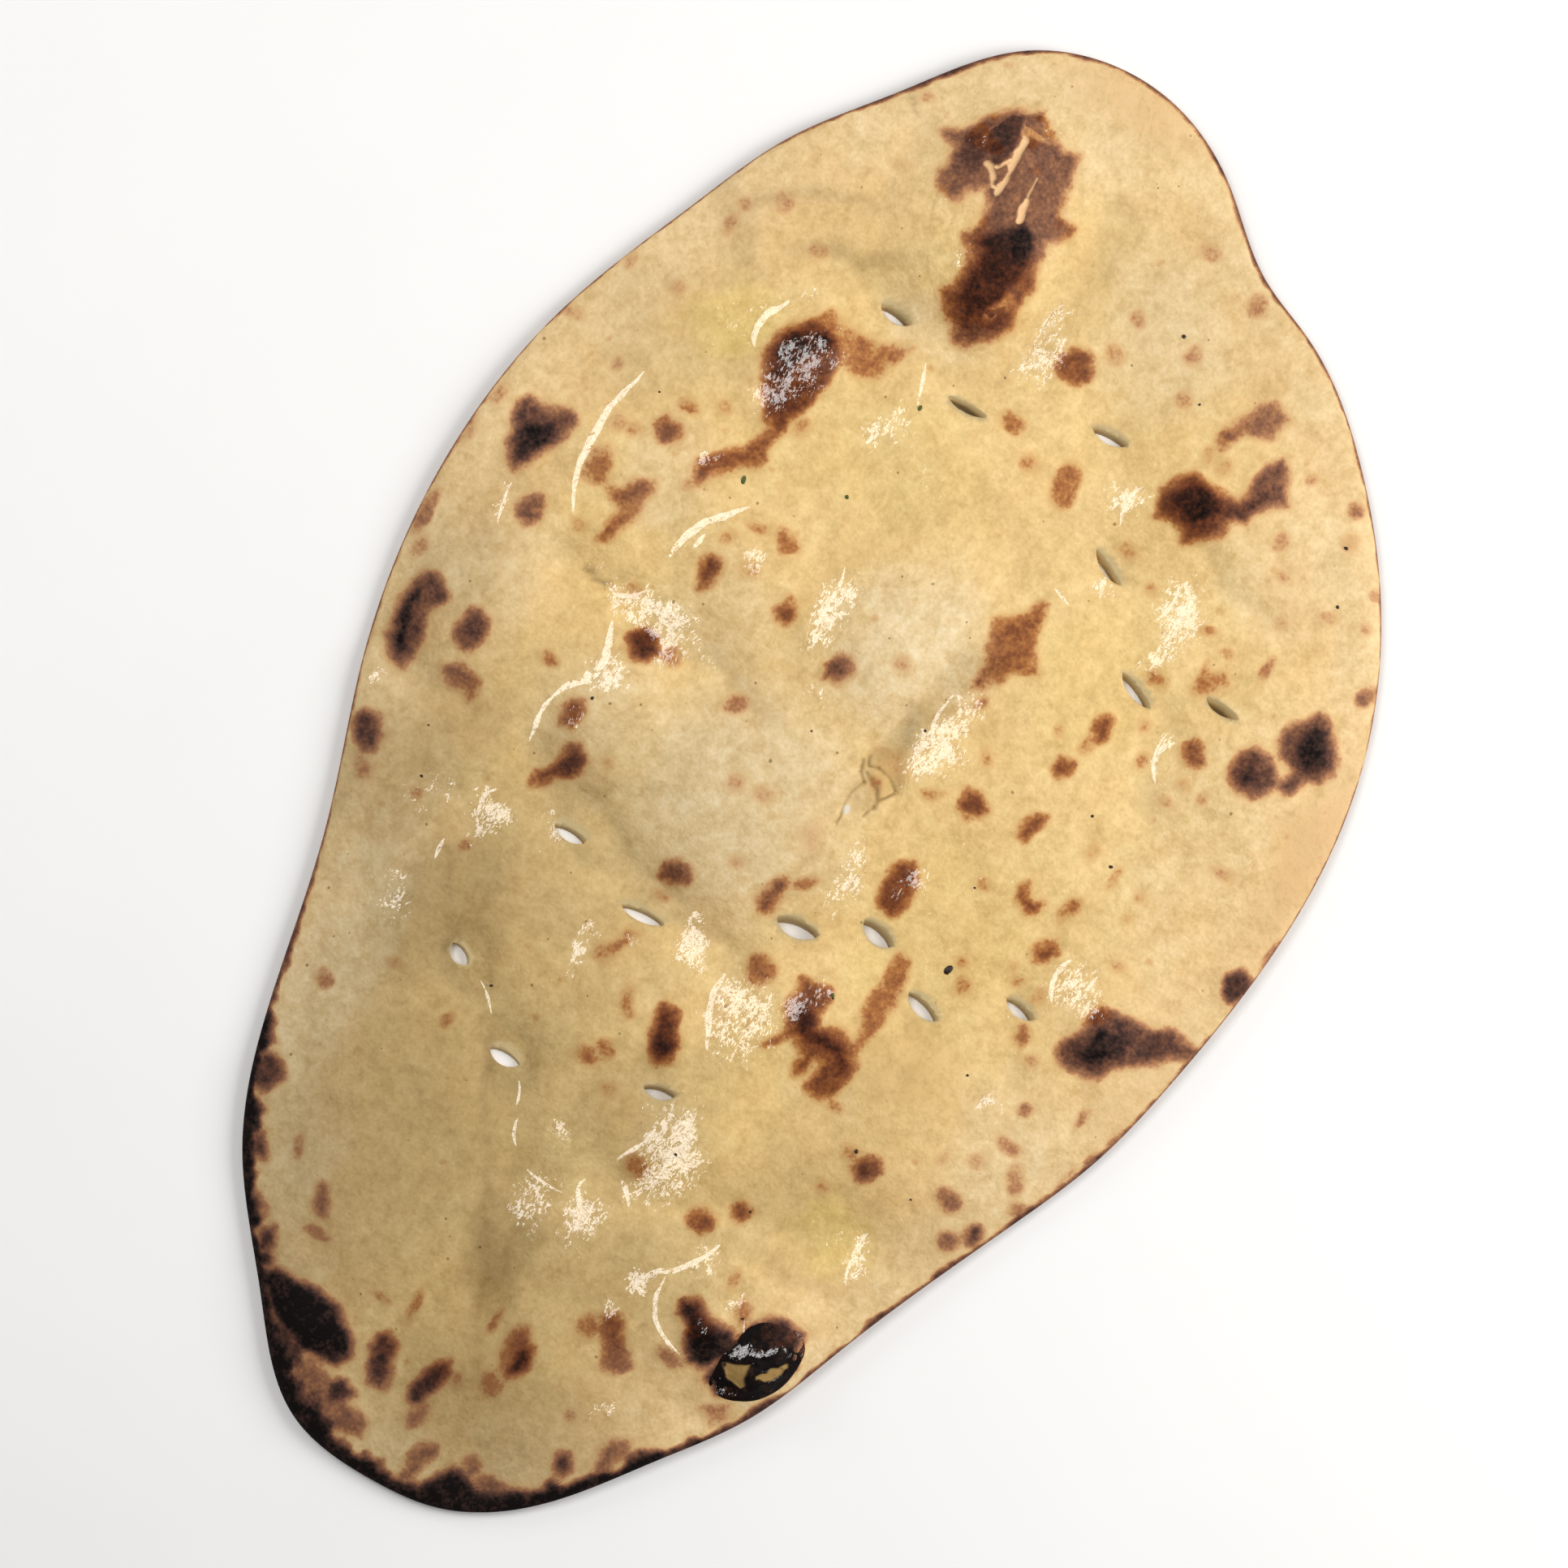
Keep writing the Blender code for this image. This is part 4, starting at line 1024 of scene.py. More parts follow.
def point_places(mesh):
    """The places of a mesh's points, as rows of across, along and up in millimetres."""
    places = np.empty(len(mesh.vertices) * 3)
    mesh.vertices.foreach_get("co", places)
    return (places.reshape(-1, 3) / MM).T


# Painted shade in hollows: the step to the neighbours that a hollow is measured against, and how much shade a
# full hollow gets
HOLLOW_STEP = 5
HOLLOW_SHADE = 0.14


def hollows(x, y):
    """How deep a place lies below the mean of its four neighbours a step away, from 0 to 1."""
    steps = [(HOLLOW_STEP, 0), (-HOLLOW_STEP, 0), (0, HOLLOW_STEP), (0, -HOLLOW_STEP)]
    around = sum(dough_form(x + step_x, y + step_y) for step_x, step_y in steps)
    return smooth_step(around / 4 - dough_form(x, y), 0.06, 0.75)


def shade_amount(x, y):
    """How much painted shade a place gets: from its patch, from lying in a hollow and from lying in a crease.
    """
    return patches(x, y, SHADE_PATCHES, 47, 0.85) + HOLLOW_SHADE * hollows(x, y) + crease_depth(x, y)


# How brown the underside's lumps are, and how much of the upper face's marks reach it
UNDER_BROWN, UNDER_SHARE = 0.55, 0.25
# How floury the crust is by the rim, and how soaked it is well inside it
RIM_FLOUR, MIDDLE_SOAK = 0.35, 0.35


def dress(mesh, **own):
    """Keep the crust's finish at each point of a mesh, apart from the values given by name."""
    x, y, z = point_places(mesh)
    inset = rim_distance(x, y)
    below = z < 0.5 * crust_height(x, y)
    on_top = np.maximum(scorch(x, y), patches(x, y, BROWNED, 49, 0.8))
    lumps = noise_layers(x, y, (1, 9, 31), (0.5, 4, 32), (0.4, 1.7, 33))
    reaching = np.where(inset < 1.2, on_top, UNDER_SHARE * on_top)
    under = np.maximum(UNDER_BROWN * smooth_step(lumps, 0.4, 1.3), reaching)
    floury = np.maximum(patches(x, y, FLOURY, 45, 0.5), RIM_FLOUR * (1 - smooth_step(inset, 3, 14)))
    soaked = np.maximum(patches(x, y, POOLED, 43, 0.6), MIDDLE_SOAK * smooth_step(inset, 6, 30))
    soaked *= 1 - 0.75 * floury
    values = {
        "scorch": np.where(below, under, on_top),
        "shine": np.where(below, 0, patches(x, y, SHINE, 41, 0.7)),
        "soaked": np.where(below, 0.1, soaked),
        "floury": np.where(below, 0.5, floury),
        # Painted shade from patches, hollows and creases on top, and a faint even amount underneath
        "greyed": np.where(below, 0.15, shade_amount(x, y)),
        "slit": slit_cover(x, y),
        "crumb": np.zeros(len(x)),
    }
    values.update(own)
    for name, numbers in values.items():
        layer = mesh.attributes.new(name, "FLOAT", "POINT")
        layer.data.foreach_set("value", np.broadcast_to(numbers, len(x)).astype(np.float32))
    return on_top


baked = dress(cut)
print(f"scorch reaches {baked.max():.2f}, and {np.mean(baked > 0.5):.1%} of the points are dark")

# %% [markdown]
# ## Building materials
# Node trees are long to write out by hand. A few small helpers add a node, fill its sockets with numbers
# or links, and return what it gives, so that each finish reads as a list of layers.

# %% Small helpers for node trees
# How far a facet leans to mirror the key lamp: in the middle of the bread, and its change a metre
LEAN_IN_MIDDLE = 0.214
LEAN_PER_METRE = 1.2


def paint(red, green, blue):
    """A colour as seen on a screen, 0 to 255, turned into the linear light that a shader works in."""
    seen = np.array([red, green, blue]) / 255
    linear = np.where(seen <= 0.04045, seen / 12.92, ((seen + 0.055) / 1.055) ** 2.4)
    return (*linear.tolist(), 1.0)


class Finish:
    """A material with one Principled shader, and short ways to add nodes before it."""

    def __init__(self, name):
        self.material = bpy.data.materials.new(name)
        self.material.use_nodes = True
        self.tree = self.material.node_tree
        self.shader = self.tree.nodes["Principled BSDF"]
        self.place = self.tree.nodes.new("ShaderNodeTexCoord").outputs["Object"]

    def fill(self, socket, value):
        """Link an output, or set a plain value."""
        if isinstance(value, bpy.types.NodeSocket):
            self.tree.links.new(value, socket)
        else:
            socket.default_value = value

    def attribute(self, name):
        """A number kept at the mesh's points."""
        node = self.tree.nodes.new("ShaderNodeAttribute")
        node.attribute_name = name
        return node.outputs["Fac"]

    def noise(self, size, detail=2.0, roughness=0.5, distortion=0.0, shift=0.0, squeeze=None):
        """Cloudy noise whose lumps are about as large as size, in millimetres.

        A squeeze multiplies the place first, so that a factor below 1 draws the lumps out that way.
        """
        node = self.tree.nodes.new("ShaderNodeTexNoise")
        node.noise_dimensions = "4D"
        place = self.place
        if squeeze:
            scaled = self.tree.nodes.new("ShaderNodeVectorMath")
            scaled.operation = "MULTIPLY"
            self.fill(scaled.inputs[0], place)
            self.fill(scaled.inputs[1], squeeze)
            place = scaled.outputs[0]
        self.fill(node.inputs["Vector"], place)
        self.fill(node.inputs["W"], shift)
        self.fill(node.inputs["Scale"], 1 / (size * MM))
        self.fill(node.inputs["Detail"], detail)
        self.fill(node.inputs["Roughness"], roughness)
        self.fill(node.inputs["Distortion"], distortion)
        return node.outputs["Fac"]

    def cells(self, size):
        """Distance from scattered centres that lie about size apart, in millimetres."""
        node = self.tree.nodes.new("ShaderNodeTexVoronoi")
        self.fill(node.inputs["Vector"], self.place)
        self.fill(node.inputs["Scale"], 1 / (size * MM))
        return node.outputs["Distance"]

    def sums(self, operation, first, second=0.0):
        """Arithmetic on two numbers."""
        node = self.tree.nodes.new("ShaderNodeMath")
        node.operation = operation
        self.fill(node.inputs[0], first)
        self.fill(node.inputs[1], second)
        return node.outputs[0]

    def span(self, value, start, end, low=0.0, high=1.0):
        """Carry a value's span onto another with a soft turn at both ends."""
        node = self.tree.nodes.new("ShaderNodeMapRange")
        node.interpolation_type = "SMOOTHSTEP"
        for socket, number in zip(node.inputs, (value, start, end, low, high)):
            self.fill(socket, number)
        return node.outputs["Result"]

    def blend(self, share, first, second, kind="MIX"):
        """The second colour over the first, by a share."""
        node = self.tree.nodes.new("ShaderNodeMix")
        node.data_type = "RGBA"
        node.blend_type = kind
        self.fill(node.inputs["Factor"], share)
        self.fill(node.inputs[6], first)
        self.fill(node.inputs[7], second)
        return node.outputs[2]

    def ramp(self, value, stops):
        """Colours along a value: a list of places and colours."""
        node = self.tree.nodes.new("ShaderNodeValToRGB")
        while len(node.color_ramp.elements) < len(stops):
            node.color_ramp.elements.new(0.5)
        for element, (place, colour) in zip(node.color_ramp.elements, stops):
            element.position = place
            element.color = paint(*colour)
        self.fill(node.inputs["Fac"], value)
        return node.outputs["Color"]

    def relief(self, height, depth, below=None):
        """Bump from a height between 0 and 1, where 1 stands depth millimetres high."""
        node = self.tree.nodes.new("ShaderNodeBump")
        self.fill(node.inputs["Strength"], 1.0)
        self.fill(node.inputs["Distance"], depth * MM)
        self.fill(node.inputs["Height"], height)
        if below:
            self.fill(node.inputs["Normal"], below)
        return node.outputs["Normal"]

    def leaning(self, share):
        """The normal turned to where a film of butter mirrors the lamp, by a share.

        The lean changes along the bread, because lamp and viewer both stand only about 0.8 m away. A
        normal map keeps a direction as half of it plus a half.
        """
        lean_x, lean_y = (LEAN_IN_MIDDLE / 2 * part for part in TO_THE_LIGHT)
        lean = self.tree.nodes.new("ShaderNodeVectorMath")
        lean.operation = "MULTIPLY_ADD"
        self.fill(lean.inputs[0], self.place)
        self.fill(lean.inputs[1], (-LEAN_PER_METRE / 2, -LEAN_PER_METRE / 2, 0.0))
        self.fill(lean.inputs[2], (0.5 + lean_x, 0.5 + lean_y, 0.99))
        turned = self.tree.nodes.new("ShaderNodeNormalMap")
        turned.space = "OBJECT"
        self.fill(turned.inputs["Color"], lean.outputs[0])
        self.fill(turned.inputs["Strength"], share)
        return turned.outputs["Normal"]

    def finish(self, **sockets):
        """Fill the shader's sockets, with underscores in their names for spaces."""
        for name, value in sockets.items():
            self.fill(self.shader.inputs[name.replace("_", " ")], value)
        return self.material


# %% [markdown]
# ## The buttered crust
# Pale wheat dough is the ground. Over it come the soaked yellow of butter, dry flour, tiny freckles and
# bran, and the scorch. Then painted shade greys the hollows, the creases and the side where less light
# falls. Under butter a scorch turns orange brown, and on dry crust a duller red brown. The bump has the
# crust's lumps, its grain, its pores and the close wrinkles of the skin. Butter glitters on the tiny
# facets that happen to mirror the lamp, so fine noise picks those facets, more of them the thicker the
# film, and turns their normals to the lamp.

# %% The crust's material
DRY_SCORCH = [
    (0.0, (240, 206, 152)), (0.2, (224, 178, 122)), (0.42, (182, 128, 86)), (0.58, (136, 92, 67)),
    (0.74, (92, 60, 49)), (0.88, (56, 40, 36)), (1.0, (19, 15, 14)),
]
BUTTERED_SCORCH = [
    (0.0, (238, 202, 136)), (0.2, (221, 172, 106)), (0.42, (176, 114, 58)), (0.58, (132, 75, 38)),
    (0.74, (94, 48, 27)), (0.88, (54, 28, 19)), (1.0, (17, 11, 10)),
]
PALE_DOUGH, WARM_DOUGH, GOLDEN_DOUGH = (243, 214, 162), (239, 205, 149), (233, 192, 124)
SOAKED_DOUGH, DRY_FLOUR = (241, 212, 137), (242, 223, 184)
# A slit's wall, and a thin ring round it, take a grey tan darker than crumb: partly the cut crumb, partly
# painted shade
FRECKLE, BRAN, SHADED_SLIT_WALL = (208, 152, 90), (136, 104, 60), (188, 166, 120)
# Painted shade: how the colour is greyed and darkened as the painted shade grows
SHADE_TINT = [(0.0, (255, 255, 255)), (0.5, (203, 202, 197)), (1.0, (146, 138, 120))]
TONE_FINE = [(0.3, (226, 220, 206)), (0.5, (244, 241, 234)), (0.68, (255, 255, 255))]


def buttered_crust(name, crumb, wrinkle=0.09):
    """Dough, butter, flour, freckles and scorch in layers, over a wrinkled and partly shiny skin."""
    crust = Finish(name)
    # Where the film of butter is thick enough for a facet to glitter
    scorched = crust.attribute("scorch")
    soaked_here, dry_here = crust.attribute("soaked"), crust.attribute("floury")
    shine = crust.sums("ADD", crust.attribute("shine"), crust.sums("MULTIPLY", soaked_here, 0.45))
    dark_skin = crust.span(scorched, 0.3, 0.8, 0.235, 0.18)
    clumps = crust.span(crust.noise(3.6, 2, 0.6, 0.6, shift=13), 0.3, 0.68, 0.19, 0.36)
    film = crust.sums("MULTIPLY", shine, clumps)
    reach = crust.sums("ADD", film, dark_skin)
    facets = crust.noise(0.85, 3, 0.66, 1.2, shift=12, squeeze=(1.2, 0.62, 1.0))
    lit = crust.span(crust.sums("SUBTRACT", reach, facets), -0.02, 0.03)

    # Dough in two tones, golden clouds, the yellow of soaked butter, and dry flour
    clouds, broad = crust.noise(9, 4, 0.6, shift=1), crust.noise(21, 3, 0.55, shift=4)
    mottle = crust.noise(2.4, 4, 0.62, 0.4, shift=2)
    grain = crust.noise(0.7, 3, 0.6, shift=3)
    dough = crust.blend(crust.span(clouds, 0.35, 0.65), paint(*PALE_DOUGH), paint(*WARM_DOUGH))
    dough = crust.blend(crust.span(broad, 0.45, 0.7, 0.0, 0.3), dough, paint(*GOLDEN_DOUGH))
    soaked = crust.sums("MULTIPLY", soaked_here, crust.span(clouds, 0.2, 0.7, 1.1, 0.7))
    dough = crust.blend(soaked, dough, paint(*SOAKED_DOUGH))
    floury = crust.sums("MULTIPLY", dry_here, crust.span(mottle, 0.3, 0.7, 0.5, 0.95))
    dough = crust.blend(floury, dough, paint(*DRY_FLOUR))

    # Freckles and specks of bran: dots round scattered centres, some large and some too small to show
    freckle_size = crust.span(crust.noise(3.0, 2, shift=5), 0.42, 0.75, 0.0, 0.2)
    freckles = crust.span(crust.sums("SUBTRACT", freckle_size, crust.cells(6.5)), -0.08, 0.14, 0, 0.65)
    dough = crust.blend(freckles, dough, paint(*FRECKLE))
    bran_size = crust.span(crust.noise(1.9, 1, shift=6), 0.5, 0.75, 0.0, 0.18)
    bran = crust.span(crust.sums("SUBTRACT", bran_size, crust.cells(2.4)), -0.01, 0.05, 0, 0.7)
    dough = crust.blend(bran, dough, paint(*BRAN))

    # Scorch, whose depth the noises shake, in a buttered and a dry row of colours
    cloudy, grainy = crust.span(mottle, 0.25, 0.75, -0.1, 0.1), crust.span(grain, 0.25, 0.75, -0.08, 0.08)
    uneven = crust.sums("ADD", cloudy, grainy)
    depth = crust.sums("ADD", scorched, crust.sums("MULTIPLY", uneven, crust.span(scorched, 0.03, 0.35)))
    buttery = crust.sums("MAXIMUM", crust.span(soaked_here, 0.1, 0.4), crust.span(shine, 0.2, 0.6))
    burnt = crust.blend(buttery, crust.ramp(depth, DRY_SCORCH), crust.ramp(depth, BUTTERED_SCORCH))
    colour = crust.blend(crust.span(depth, 0.03, 0.44), dough, burnt)
    # Fine unevenness of tone, painted shade, bare crumb and the slits' walls, which are partly painted shade
    for noise, most, least in ((mottle, 1.0, 0.2), (grain, 0.6, 0.1)):
        uneven_share = crust.span(depth, 0.1, 0.5, most, least)
        colour = crust.blend(uneven_share, colour, crust.ramp(noise, TONE_FINE), "MULTIPLY")
    # Painted shade, weaker on scorch
    shade_tone = crust.ramp(crust.attribute("greyed"), SHADE_TINT)
    colour = crust.blend(crust.span(depth, 0.3, 0.8, 1.0, 0.3), colour, shade_tone, "MULTIPLY")
    colour = crust.blend(crust.attribute("crumb"), colour, crumb)
    colour = crust.blend(crust.attribute("slit"), colour, paint(*SHADED_SLIT_WALL))

    # Relief, from the lean of the lit facets to the finest wrinkles, and then the gloss
    wrinkles = crust.noise(1.15, 1.5, 0.5, 0.9, shift=8)
    pores = crust.span(crust.cells(1.7), 0.0, 0.3)
    normal = crust.leaning(crust.sums("MULTIPLY", lit, 0.9))
    normal = crust.relief(crust.noise(2.6, 4, 0.55, shift=9), 0.2, normal)
    normal = crust.relief(grain, 0.065, normal)
    normal = crust.relief(pores, 0.045, normal)
    normal = crust.relief(wrinkles, wrinkle, normal)
    wetness = crust.sums("MAXIMUM", lit, crust.span(shine, 0.0, 1.0, 0.0, 0.5))
    glint = crust.sums("MAXIMUM", crust.span(scorched, 0.3, 0.9, 0.3, 0.06), lit)
    return crust.finish(
        Base_Color=colour,
        Roughness=crust.span(wetness, 0.0, 1.0, 0.62, 0.2),
        Specular_IOR_Level=glint,
        Normal=normal,
    )


PALE_CRUMB = paint(238, 196, 146)
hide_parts("roti")
cut.materials.append(buttered_crust("buttered_crust", PALE_CRUMB))


def place_on_bread(piece):
    """The piece rides with the bread, and how many points it has and its highest point are printed."""
    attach(piece, "root")
    highest = point_places(piece.data)[2].max()
    print(f"{piece.name}: {len(piece.data.vertices)} points, the highest at {highest:.2f} mm")


place_on_bread(roti_crust)

# %% [markdown]
# ## Fine skins
# Three places have torn or blistered skin with details of a few tenths of a millimetre, too small for
# the crust's grid. Each gets a skin of its own: a much finer grid over just that place, which follows
# the crust, adds its own relief, and dips into the crust at its edge so that no seam shows.

# %% A fine skin over one place
SKIN_DIP = 0.45
SKIN_ROOT = 0.9
SKIN_FLAT_SHARE = 0.88


def fine_skin(name, middle, edge, spacing, lift, relief, material):
    """A closed skin: the grid's square is rounded to a disc, whose edge is stretched to the edge loop.

    Its height is the crust's, plus a lift and its own relief. The outer eighth dips, and a fan of
    triangles from the edge to one point inside the bread closes it below.
    """
    turns, reaches = reach_table(smooth_loop(edge, 20) - np.array(middle))
    half_width, half_length = np.abs(np.array(edge) - np.array(middle)).max(axis=0)
    across, along = round(2 * half_width / spacing), round(2 * half_length / spacing)
    columns, rows = np.meshgrid(np.linspace(-1, 1, across + 1), np.linspace(-1, 1, along + 1))
    u, v = columns.ravel(), rows.ravel()
    disc_x, disc_y = u * np.sqrt(1 - v * v / 2), v * np.sqrt(1 - u * u / 2)
    turn = np.arctan2(disc_y * half_length, disc_x * half_width)
    share = np.hypot(disc_x, disc_y)
    away = share * np.interp(turn, turns, reaches, period=2 * math.pi)
    x, y = middle[0] + away * np.cos(turn), middle[1] + away * np.sin(turn)
    dip = (lift + SKIN_DIP) * smooth_step(share, SKIN_FLAT_SHARE, 1.0)
    z = crust_height(x, y) + lift + relief(x, y) - dip
    root = np.array([[middle[0], middle[1], z.min() - SKIN_ROOT]])
    ring = edge_order(along + 1, across + 1)
    fan = np.stack([np.roll(ring, -1), ring, np.full(len(ring), len(x))], axis=-1)
    points = np.concatenate([np.stack([x, y, z], axis=-1), root])
    return new_piece(name, points, [sheet_faces(along + 1, across + 1), fan], material)


def oval_edge(middle_x, middle_y, half_width, half_length, turn):
    """Twelve places round an oval: its half sizes times the cosine and sine of even steps, turned."""
    angle = 2 * math.pi * np.arange(12) / 12
    x, y = turned(half_width * np.cos(angle), half_length * np.sin(angle), turn)
    return np.stack([middle_x + x, middle_y + y], axis=-1)


# %% [markdown]
# ## The burst bubble
# At the wide end the largest bubble scorched and burst. A flap of its dark skin stands proud, pale crumb
# shows in the cracks beside it, and a lip of crust hangs over the top of the hole, with a painted shadow
# under it.

# %% Burst skin
FLAP = [
    (-30.7, 118.2), (-28.4, 123), (-26.7, 123.3), (-25.8, 120.6), (-25.4, 117.2), (-26.2, 113.5),
    (-27.8, 113.6), (-29.6, 115.9),
]
INNER_SKIN = [(-26, 124.2), (-23, 123.4), (-20.2, 121.4), (-24, 120.4), (-25.5, 120.2)]
CRACKS = [
    ([(-24.6, 120), (-24.2, 116.5), (-23.9, 113), (-24.1, 109.4)], 1.2),
    ([(-28.4, 113.2), (-26.5, 111.8), (-25, 110)], 0.9), ([(-26.6, 113), (-24.8, 115.4)], 0.7),
    ([(-19, 110.6), (-18.7, 108.6), (-18.1, 106.8)], 1.1), ([(-19.4, 115), (-19, 110.6)], 0.35),
]
ISLAND = (-24.9, 112.4, 0.6, 1.9, -8)
LIP = [(-28, 123.9), (-25.6, 124.6), (-24.4, 126), (-23.8, 128)]
LIP_RISE = 0.3
PALE_NOTCH = [(-12.6, 94.6), (-14.6, 90.2)]


def burst_parts(x, y):
    """Where the flap, the inner skin, the cracks, the lip's shadow and the pale notch lie."""
    x = x + 0.3 * soft_noise(x, y, 1.3, 61)
    y = y + 0.3 * soft_noise(x, y, 1.3, 62)
    flap = smooth_step(inside_distance(x, y, FLAP), -0.15, 0.2)
    inner = smooth_step(inside_distance(x, y, INNER_SKIN), -0.3, 0.3)
    crack = np.zeros(np.shape(x))
    for path, width in CRACKS:
        gap = path_distance(x, y, path) - width / 2
        crack = np.maximum(crack, 1 - smooth_step(gap, -0.15, 0.15))
    crack *= smooth_step(oval_distance(x, y, ISLAND), 0.9, 1.2) * (1 - flap)
    shadow = 1 - smooth_step(path_distance(x, y, LIP), 0.1, 0.6)
    notch = 1 - smooth_step(path_distance(x, y, PALE_NOTCH), 0.3, 1.6)
    return flap, inner, crack, shadow, notch


def burst_relief(x, y):
    """The flap and the lip stand up, and the cracks and the inner skin lie deep."""
    flap, inner, crack, shadow, _ = burst_parts(x, y)
    curl = smooth_step(path_distance(x, y, FLAP[2:6]), 2.5, 0.0)
    above_lip = smooth_step(path_distance(x, y, [(-28, 126), (-25.4, 126.6), (-23, 129)]), 2.4, 0.2)
    wrinkled = noise_layers(x, y, (0.06, 0.8, 63), (0.1, 1.9, 64))
    sunk = 0.5 * crack + 0.35 * inner + 0.4 * shadow
    return flap * (0.1 + 0.3 * curl) - sunk + LIP_RISE * above_lip + wrinkled


crust_skin = buttered_crust("torn_skin", PALE_CRUMB, 0.12)
burst_skin = fine_skin(
    "burst_skin", BURST_BED[:2], oval_edge(*BURST_BED),
    spacing=0.25, lift=0.05, relief=burst_relief, material=crust_skin,
)
burst_x, burst_y, _ = point_places(burst_skin.data)
flap, inner, crack, shadow, notch = burst_parts(burst_x, burst_y)
# Painted shadow: the line under the overhanging lip is darkened as a scorch
burst_scorch = np.maximum(scorch(burst_x, burst_y) * (1 - 0.3 * notch), 0.45 * shadow)
hollow_x, hollow_y = ragged(burst_x, burst_y)
black_hollow = 1 - smooth_step(oval_distance(hollow_x, hollow_y, (-16.4, 103.6, 3.3, 3.6, 0)), 0.5, 1.3)
burst_scorch = np.maximum(burst_scorch * (1 - flap) + 0.78 * flap, 0.95 * black_hollow)
burst_scorch = burst_scorch * (1 - inner) + 0.42 * inner
buttered_end = 0.35 * (1 - smooth_step(burst_y, 98, 110))
bare = np.maximum(crack, 0.12 * inner)
ash = 0.6 * smooth_step(soft_noise(burst_x, burst_y, 4, 79), 0.0, 0.8) * (1 - bare)
dress(burst_skin.data, scorch=burst_scorch, crumb=bare, shine=ash, soaked=buttered_end)
place_on_bread(burst_skin)

# %% [markdown]
# ## The black blister
# Near the narrow end one bubble burnt to a hard black shell. It stands well above the crust, its skin
# is wrinkled and shines with butter, and in two places it peeled and shows tan crumb.

# %% Black blister
BLISTER_MIDDLE = (42.2, -88.2)
BLISTER_EDGE = [
    (39.1, -80.4), (43, -79.1), (46.6, -79.2), (48.3, -81), (48.9, -84.7), (48.4, -89), (45.6, -93.9),
    (41.4, -96.7), (37.4, -97.2), (35.4, -95.8), (35.2, -93.4), (35.1, -90.6), (36, -87.4), (36.3, -84.3),
    (37.4, -81.9),
]
PEELED = [
    [(36.6, -90.9), (39.1, -89.4), (40.8, -88.7), (41.3, -90.8), (41.7, -93.6), (39.1, -92.8), (37, -91.9)],
    [(42.4, -89.6), (43.9, -88.6), (46, -85.2), (46.9, -86), (45.2, -89), (43, -90.2)],
]
SHELL_GLINTS = [
    (37.4, -86, 1.6, 2.6, -30, 0.85), (41, -85.4, 2.6, 1.1, 0, 0.85), (43.6, -89.2, 1.8, 1, 0, 0.7),
    (46.4, -82, 1.1, 2.4, 0, 0.8), (39, -95.4, 2.6, 0.8, 0, 0.6),
]
SHELL_RISE = 0.2


def peeled_share(x, y):
    """1 where the blister's black skin peeled off."""
    at_x, at_y = x + 0.5 * soft_noise(x, y, 1.2, 71), y + 0.5 * soft_noise(x, y, 1.2, 72)
    return np.max([smooth_step(inside_distance(at_x, at_y, patch), -0.1, 0.2) for patch in PEELED], axis=0)


def shell_relief(x, y):
    """A shell with a steep edge, lumps, wrinkles and sunk peeled places."""
    bulge = smooth_step(inside_distance(x, y, BLISTER_EDGE), 0.2, 2.6)
    ridges = 1 - np.abs(soft_noise(x + 0.8 * soft_noise(x, y, 2, 75), y, 1.5, 73)) * 2
    lumps = 0.2 * soft_noise(x, y, 3.1, 74) + 0.2 * ridges + 0.08 * soft_noise(x, y, 0.7, 76) - 0.25
    return SHELL_RISE * bulge + lumps * bulge - 0.45 * peeled_share(x, y)


blister_skin = buttered_crust("blister_skin", paint(158, 128, 78), 0.16)
black_blister = fine_skin(
    "black_blister", BLISTER_MIDDLE, BLISTER_EDGE,
    spacing=0.2, lift=0.06, relief=shell_relief, material=blister_skin,
)
shell_x, shell_y, _ = point_places(black_blister.data)
upper = smooth_step(0.28 * shell_x + shell_y, -72.5, -66.5)
shell_scorch = 1.02 - 0.28 * upper + 0.05 * soft_noise(shell_x, shell_y, 1.3, 77)
peeled = peeled_share(shell_x, shell_y)
glossy = (0.3 + patches(shell_x, shell_y, SHELL_GLINTS, 53, 0.5)) * (1 - peeled)
dress(black_blister.data, scorch=shell_scorch, crumb=peeled, shine=glossy, soaked=0.2)
place_on_bread(black_blister)

# %% [markdown]
# ## The torn bubble in the middle
# Beside the palest puff a bubble's skin tore and crumpled. Creases run between small tilted facets, and
# their bottoms are browned and greyed with painted shade. A pale spot in it is a painted reflection.

# %% Torn bubble
TEARS = [
    ([(5.6, 14.7), (5.9, 13), (6.5, 11.9), (8.2, 12.4)], 0.35, 0.29),
    ([(5.2, 12.3), (5.8, 10.4), (7.2, 9)], 0.4, 0.28),
    ([(7.2, 9), (6.2, 6.6), (6.1, 4.3), (6.6, 1.6), (6.4, -0.7)], 0.3, 0.25),
    ([(8.2, 12.4), (10.6, 11.8), (12.9, 10.2)], 0.3, 0.21),
    ([(6.9, 10.7), (8.5, 9.5), (9.8, 9), (10.8, 7.3), (10.9, 6)], 0.6, 0.25),
    ([(12.9, 10.2), (11.8, 8.4), (10.8, 7.3)], 0.3, 0.14), ([(10, 3.7), (10.4, 5.2), (10.9, 6)], 0.3, 0.15),
]
# A small pale spot where a pin hole shows a whitish reflection: a painted highlight, not a real hole
GLARE_SPOT = (7, 3.4, 0.55, 0.8, 15)


def torn_relief(x, y):
    """Creases between facets, each facet tilted its own way."""
    relief = noise_layers(x, y, (0.42, 3.4, 81), (0.16, 1.2, 82))
    near = smooth_step(oval_distance(x, y, (8.6, 7.5, 5.6, 8, 0)), 1.0, 0.4)
    relief = near * (relief + 0.35)
    for path, width, _ in TEARS:
        relief -= 0.4 * np.exp(-((path_distance(x, y, path) / width) ** 2))
    return relief
